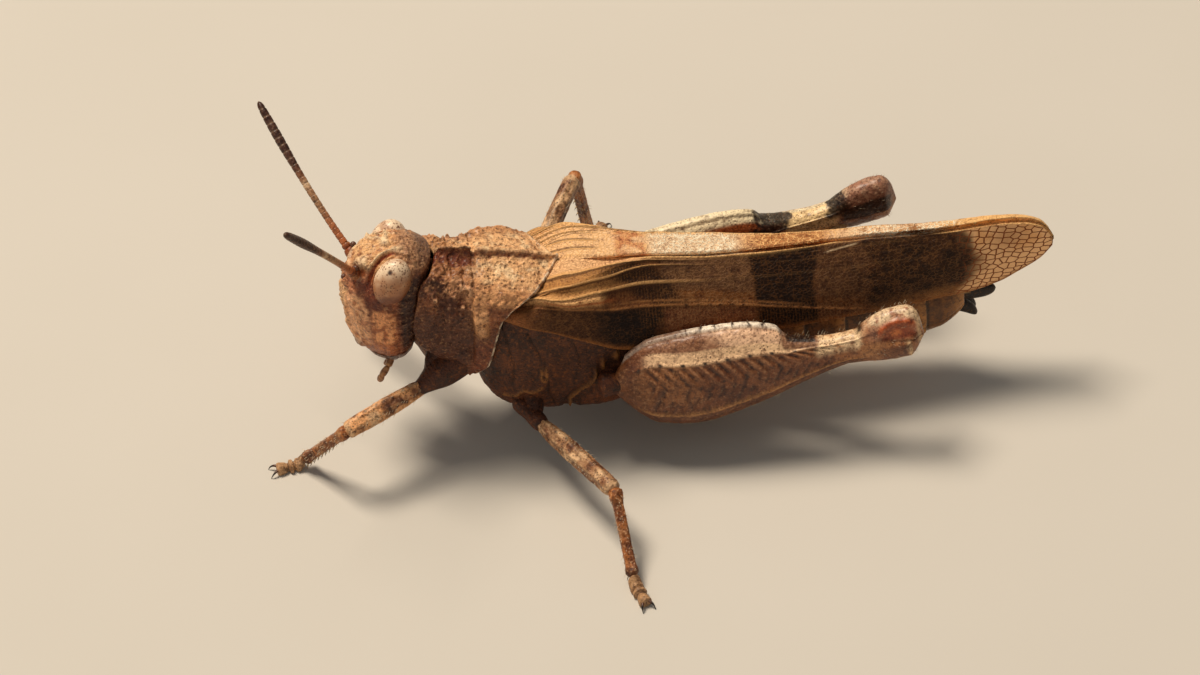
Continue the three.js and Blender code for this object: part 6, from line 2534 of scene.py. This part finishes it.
    def build_tibia(self) -> None:
        """The tibia: a swollen root, a pale ring behind it, two rows of dark-tipped spines, and spurs."""
        limb = self.shin()
        along, angle = limb.grid(200, 72)
        s = along * limb.length
        place = limb.surface(along, angle)
        ridges = np.cos(4 * (angle - math.pi / 4)) * plateau(along, 0.1, 0.93, 0.05)
        head = hump(s, 0.5, 0.3)
        lift = 0.022 * ridges + 0.08 * head + 0.012 * grain(place, 0.2, 2, 3)
        points = limb.surface(along, angle, lift)
        blotch = grain(place, 0.7, 3, self.seed + 3)
        ground = layered(
            plain("A8743F", along.shape),
            ("6E4524", eased(blotch, 0.0, 0.6) * 0.75),
            ("3E2214", (hump(s, 1.15, 0.18) + hump(s, 3.1, 0.35) + eased(along, 0.93, 0.98)) * 0.75),
            ("DDBE8C", hump(s, 2.0, 0.45) * 0.8),
            ("96481F", head * 0.8),
        )
        self.make_part("tibia_shell", "tibia", points, ground)
        for turn, count in ((-0.95, 9), (-2.19, 10)):
            spaced = np.linspace(0.3, 0.95, count)
            lengths = np.full(count, 0.5)
            self.spines.append(limb.bristles(spaced, np.full(count, turn), lengths, 0.07, 0.9))
        turns, lengths = np.array([-0.7, -1.2, -1.95, -2.45]), np.array([0.6, 0.85, 0.85, 0.6])
        self.spines.append(limb.bristles(np.full(4, 0.985), turns, lengths, 0.075, 1.9))
        self.add_hairs(limb, 220, (0.03, 0.97), (0.14, 0.34), 0.012)


LEG_POINTS = {
    "fore_left": [(3.3, -1.0, 4.7), (3.1, -1.9, 4.2), (-0.75, -3.6, 3.45), (-2.6, -2.0), (-3.85, -2.2)],
    "fore_right": [(3.3, 1.0, 4.7), (3.1, 1.9, 4.2), (0.4, 5.4, 4.3), (0.3, 6.6), (0.0, 7.9)],
    "mid_left": [(7.2, -1.5, 2.8), (7.3, -2.85, 2.3), (10.25, -8.0, 2.67), (10.6, -11.0), (11.0, -12.3)],
    "mid_right": [(7.0, 1.5, 2.8), (6.9, 2.95, 2.9), (10.3, 8.5, 5.35), (10.9, 9.4), (11.5, 10.6)],
}
HIND_POINTS = {
    "hind_left": [(10.5, -1.7, 3.5), (10.6, -3.0, 3.95), (23.0, -3.5, 5.62), (12.9, -1.3), (15.6, -1.3)],
    "hind_right": [(10.4, 1.7, 3.8), (10.5, 3.0, 4.4), (22.6, 4.15, 6.1), (12.5, 1.4), (15.2, 1.7)],
}
# What the fore and the middle legs' roots and second joints differ in, and their ground colours; the fore
# legs' paler tan is partly painted light on the fore femur.
FORE_SIZES = {"joint_reach": 1.9, "joint_size": 1.2, "root_shift": (0.5, 0.4, 1.0), "tan": "F2AE72"}
MID_SIZES = {"joint_reach": 1.3, "joint_size": 0.65, "root_shift": (0.2, 0.3, 0.5), "tan": "A87C56"}


@dataclass
class Legs:
    """All six legs.

    Attributes:
        finishes: the shared finishes.
    """

    finishes: Finishes

    def __post_init__(self) -> None:
        """Builds four walking legs and two jumping ones."""
        for seed, (name, points) in enumerate(LEG_POINTS.items()):
            Leg(self.finishes, name, points, 20 + seed, **(FORE_SIZES if "fore" in name else MID_SIZES))
        JumpingLeg(self.finishes, "hind_left", HIND_POINTS["hind_left"], 31, lean=0.3)
        JumpingLeg(self.finishes, "hind_right", HIND_POINTS["hind_right"], 32, lean=-0.04, far=True)


# ------------------------------------------------------------------ floor, light and camera


@dataclass
class Stage:
    """A pale floor, soft studio light from above and behind, and the camera.

    Attributes:
        target: what the camera is aimed at, in the animal's frame.
        azimuth: the camera's turn round the animal.
        elevation: its angle above the floor.
        roll: its turn about its own axis.
        across: how far the view's middle lies to the right of the target.
        down: how far it lies below.
        distance: from the target, in millimetres.
        lens: the focal length for the sensor's width.
        sensor: the sensor's width in millimetres.
        floor_half: half the floor's width in metres.
        floor_colour: the floor's colour.
        floor_fleck: the colour of its faint grain.
        sky: the strength of the even light from all round.
        sky_colour: its colour.
    """

    target: tuple = (8.95, 0.0, 8.9)
    azimuth: float = math.radians(-3.0)
    elevation: float = math.radians(45.0)
    roll: float = math.radians(4.0)
    across: float = 1.772
    down: float = 3.397
    distance: float = 300.0
    lens: float = 213.3
    sensor: float = 36.0
    floor_half: float = 3.0
    floor_colour: str = "CAC4B9"
    floor_fleck: str = "D1CBC1"
    sky: float = 0.2
    sky_colour: str = "F4F4F2"

    def __post_init__(self) -> None:
        """Builds the floor, the lights, the world and the camera."""
        self.build_floor()
        self.build_lights()
        self.build_world()
        self.build_camera()

    def build_floor(self) -> None:
        """A flat pale floor at the height of the feet, with a faint grain."""
        half = self.floor_half
        mesh = bpy.data.meshes.new("floor")
        corners = [(-half, -half, 0.0), (half, -half, 0.0), (half, half, 0.0), (-half, half, 0.0)]
        mesh.from_pydata(corners, [], [(0, 1, 2, 3)])
        shader = Shader("pale studio floor", Specular_IOR_Level=0.2)
        mottle = shader.noise(shader.place(), 0.05, 3.0)
        colour = shader.mix(mottle, self.floor_colour, self.floor_fleck)
        shader.feed(Base_Color=colour, Roughness=mottle * 0.1 + 0.8)
        mesh.materials.append(shader.material)
        floor = bpy.data.objects.new("floor", mesh)
        bpy.context.scene.collection.objects.link(floor)

    def add_light(self, name: str, place: tuple, size: float, power: float, warmth: str) -> None:
        """Adds a square area light, turned towards the animal.

        Args:
            name: the light's name.
            place: where it is, in metres from the animal's middle.
            size: its width in metres.
            power: its power in watts.
            warmth: its colour.
        """
        data = bpy.data.lights.new(name, "AREA")
        data.shape = "SQUARE"
        data.size = size
        data.energy = power
        data.color = tuple(srgb(warmth))
        light = bpy.data.objects.new(name, data)
        where = Vector(place)
        turn = where.to_track_quat("Z", "Y").to_matrix().to_4x4()
        light.matrix_world = Matrix.Translation(where) @ turn
        bpy.context.scene.collection.objects.link(light)

    def build_lights(self) -> None:
        """A large key from above and behind the far side, and a weak fill near the camera."""
        self.add_light("key", (-0.15, 0.14, 0.49), 0.18, 3.1, "FFF1DE")
        self.add_light("fill", (-0.25, -0.45, 0.2), 0.3, 0.22, "FFF6EC")

    def build_world(self) -> None:
        """An even, dim surrounding light."""
        world = bpy.data.worlds.new("studio")
        world.use_nodes = True
        sky = world.node_tree.nodes["Background"]
        sky.inputs["Color"].default_value = (*srgb(self.sky_colour), 1.0)
        sky.inputs["Strength"].default_value = self.sky
        bpy.context.scene.world = world

    def build_camera(self) -> None:
        """The camera: its axes are right, up and back, rolled about the last."""
        turn, rise = self.azimuth, self.elevation
        right = np.array([math.cos(turn), math.sin(turn), 0.0])
        up = np.array([-math.sin(turn) * math.sin(rise), math.cos(turn) * math.sin(rise), math.cos(rise)])
        back = np.cross(right, up)
        rolled_right = right * math.cos(self.roll) - up * math.sin(self.roll)
        rolled_up = up * math.cos(self.roll) + right * math.sin(self.roll)
        middle = np.array(self.target) + self.across * rolled_right - self.down * rolled_up
        place = (middle + self.distance * back - SHIFT) * MILLIMETRE
        data = bpy.data.cameras.new("camera")
        data.sensor_width = self.sensor
        data.lens = self.lens
        camera = bpy.data.objects.new("camera", data)
        matrix = Matrix([[*row] for row in np.stack([rolled_right, rolled_up, back], axis=1)]).to_4x4()
        matrix.translation = Vector(place)
        camera.matrix_world = matrix
        bpy.context.scene.collection.objects.link(camera)
        bpy.context.scene.camera = camera
        bpy.context.scene.view_settings.view_transform = "Standard"


def write_sizes() -> None:
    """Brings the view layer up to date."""
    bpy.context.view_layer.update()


def main() -> None:
    """Builds the animal piece by piece, then the stage."""
    finishes = Finishes()
    for part in (Head, Feelers, Forebody, Trunk, Wings, Legs):
        LOG.info("building %s", part.__name__)
        part(finishes)
    Stage()
    write_sizes()


if __name__ == "__main__":
    main()
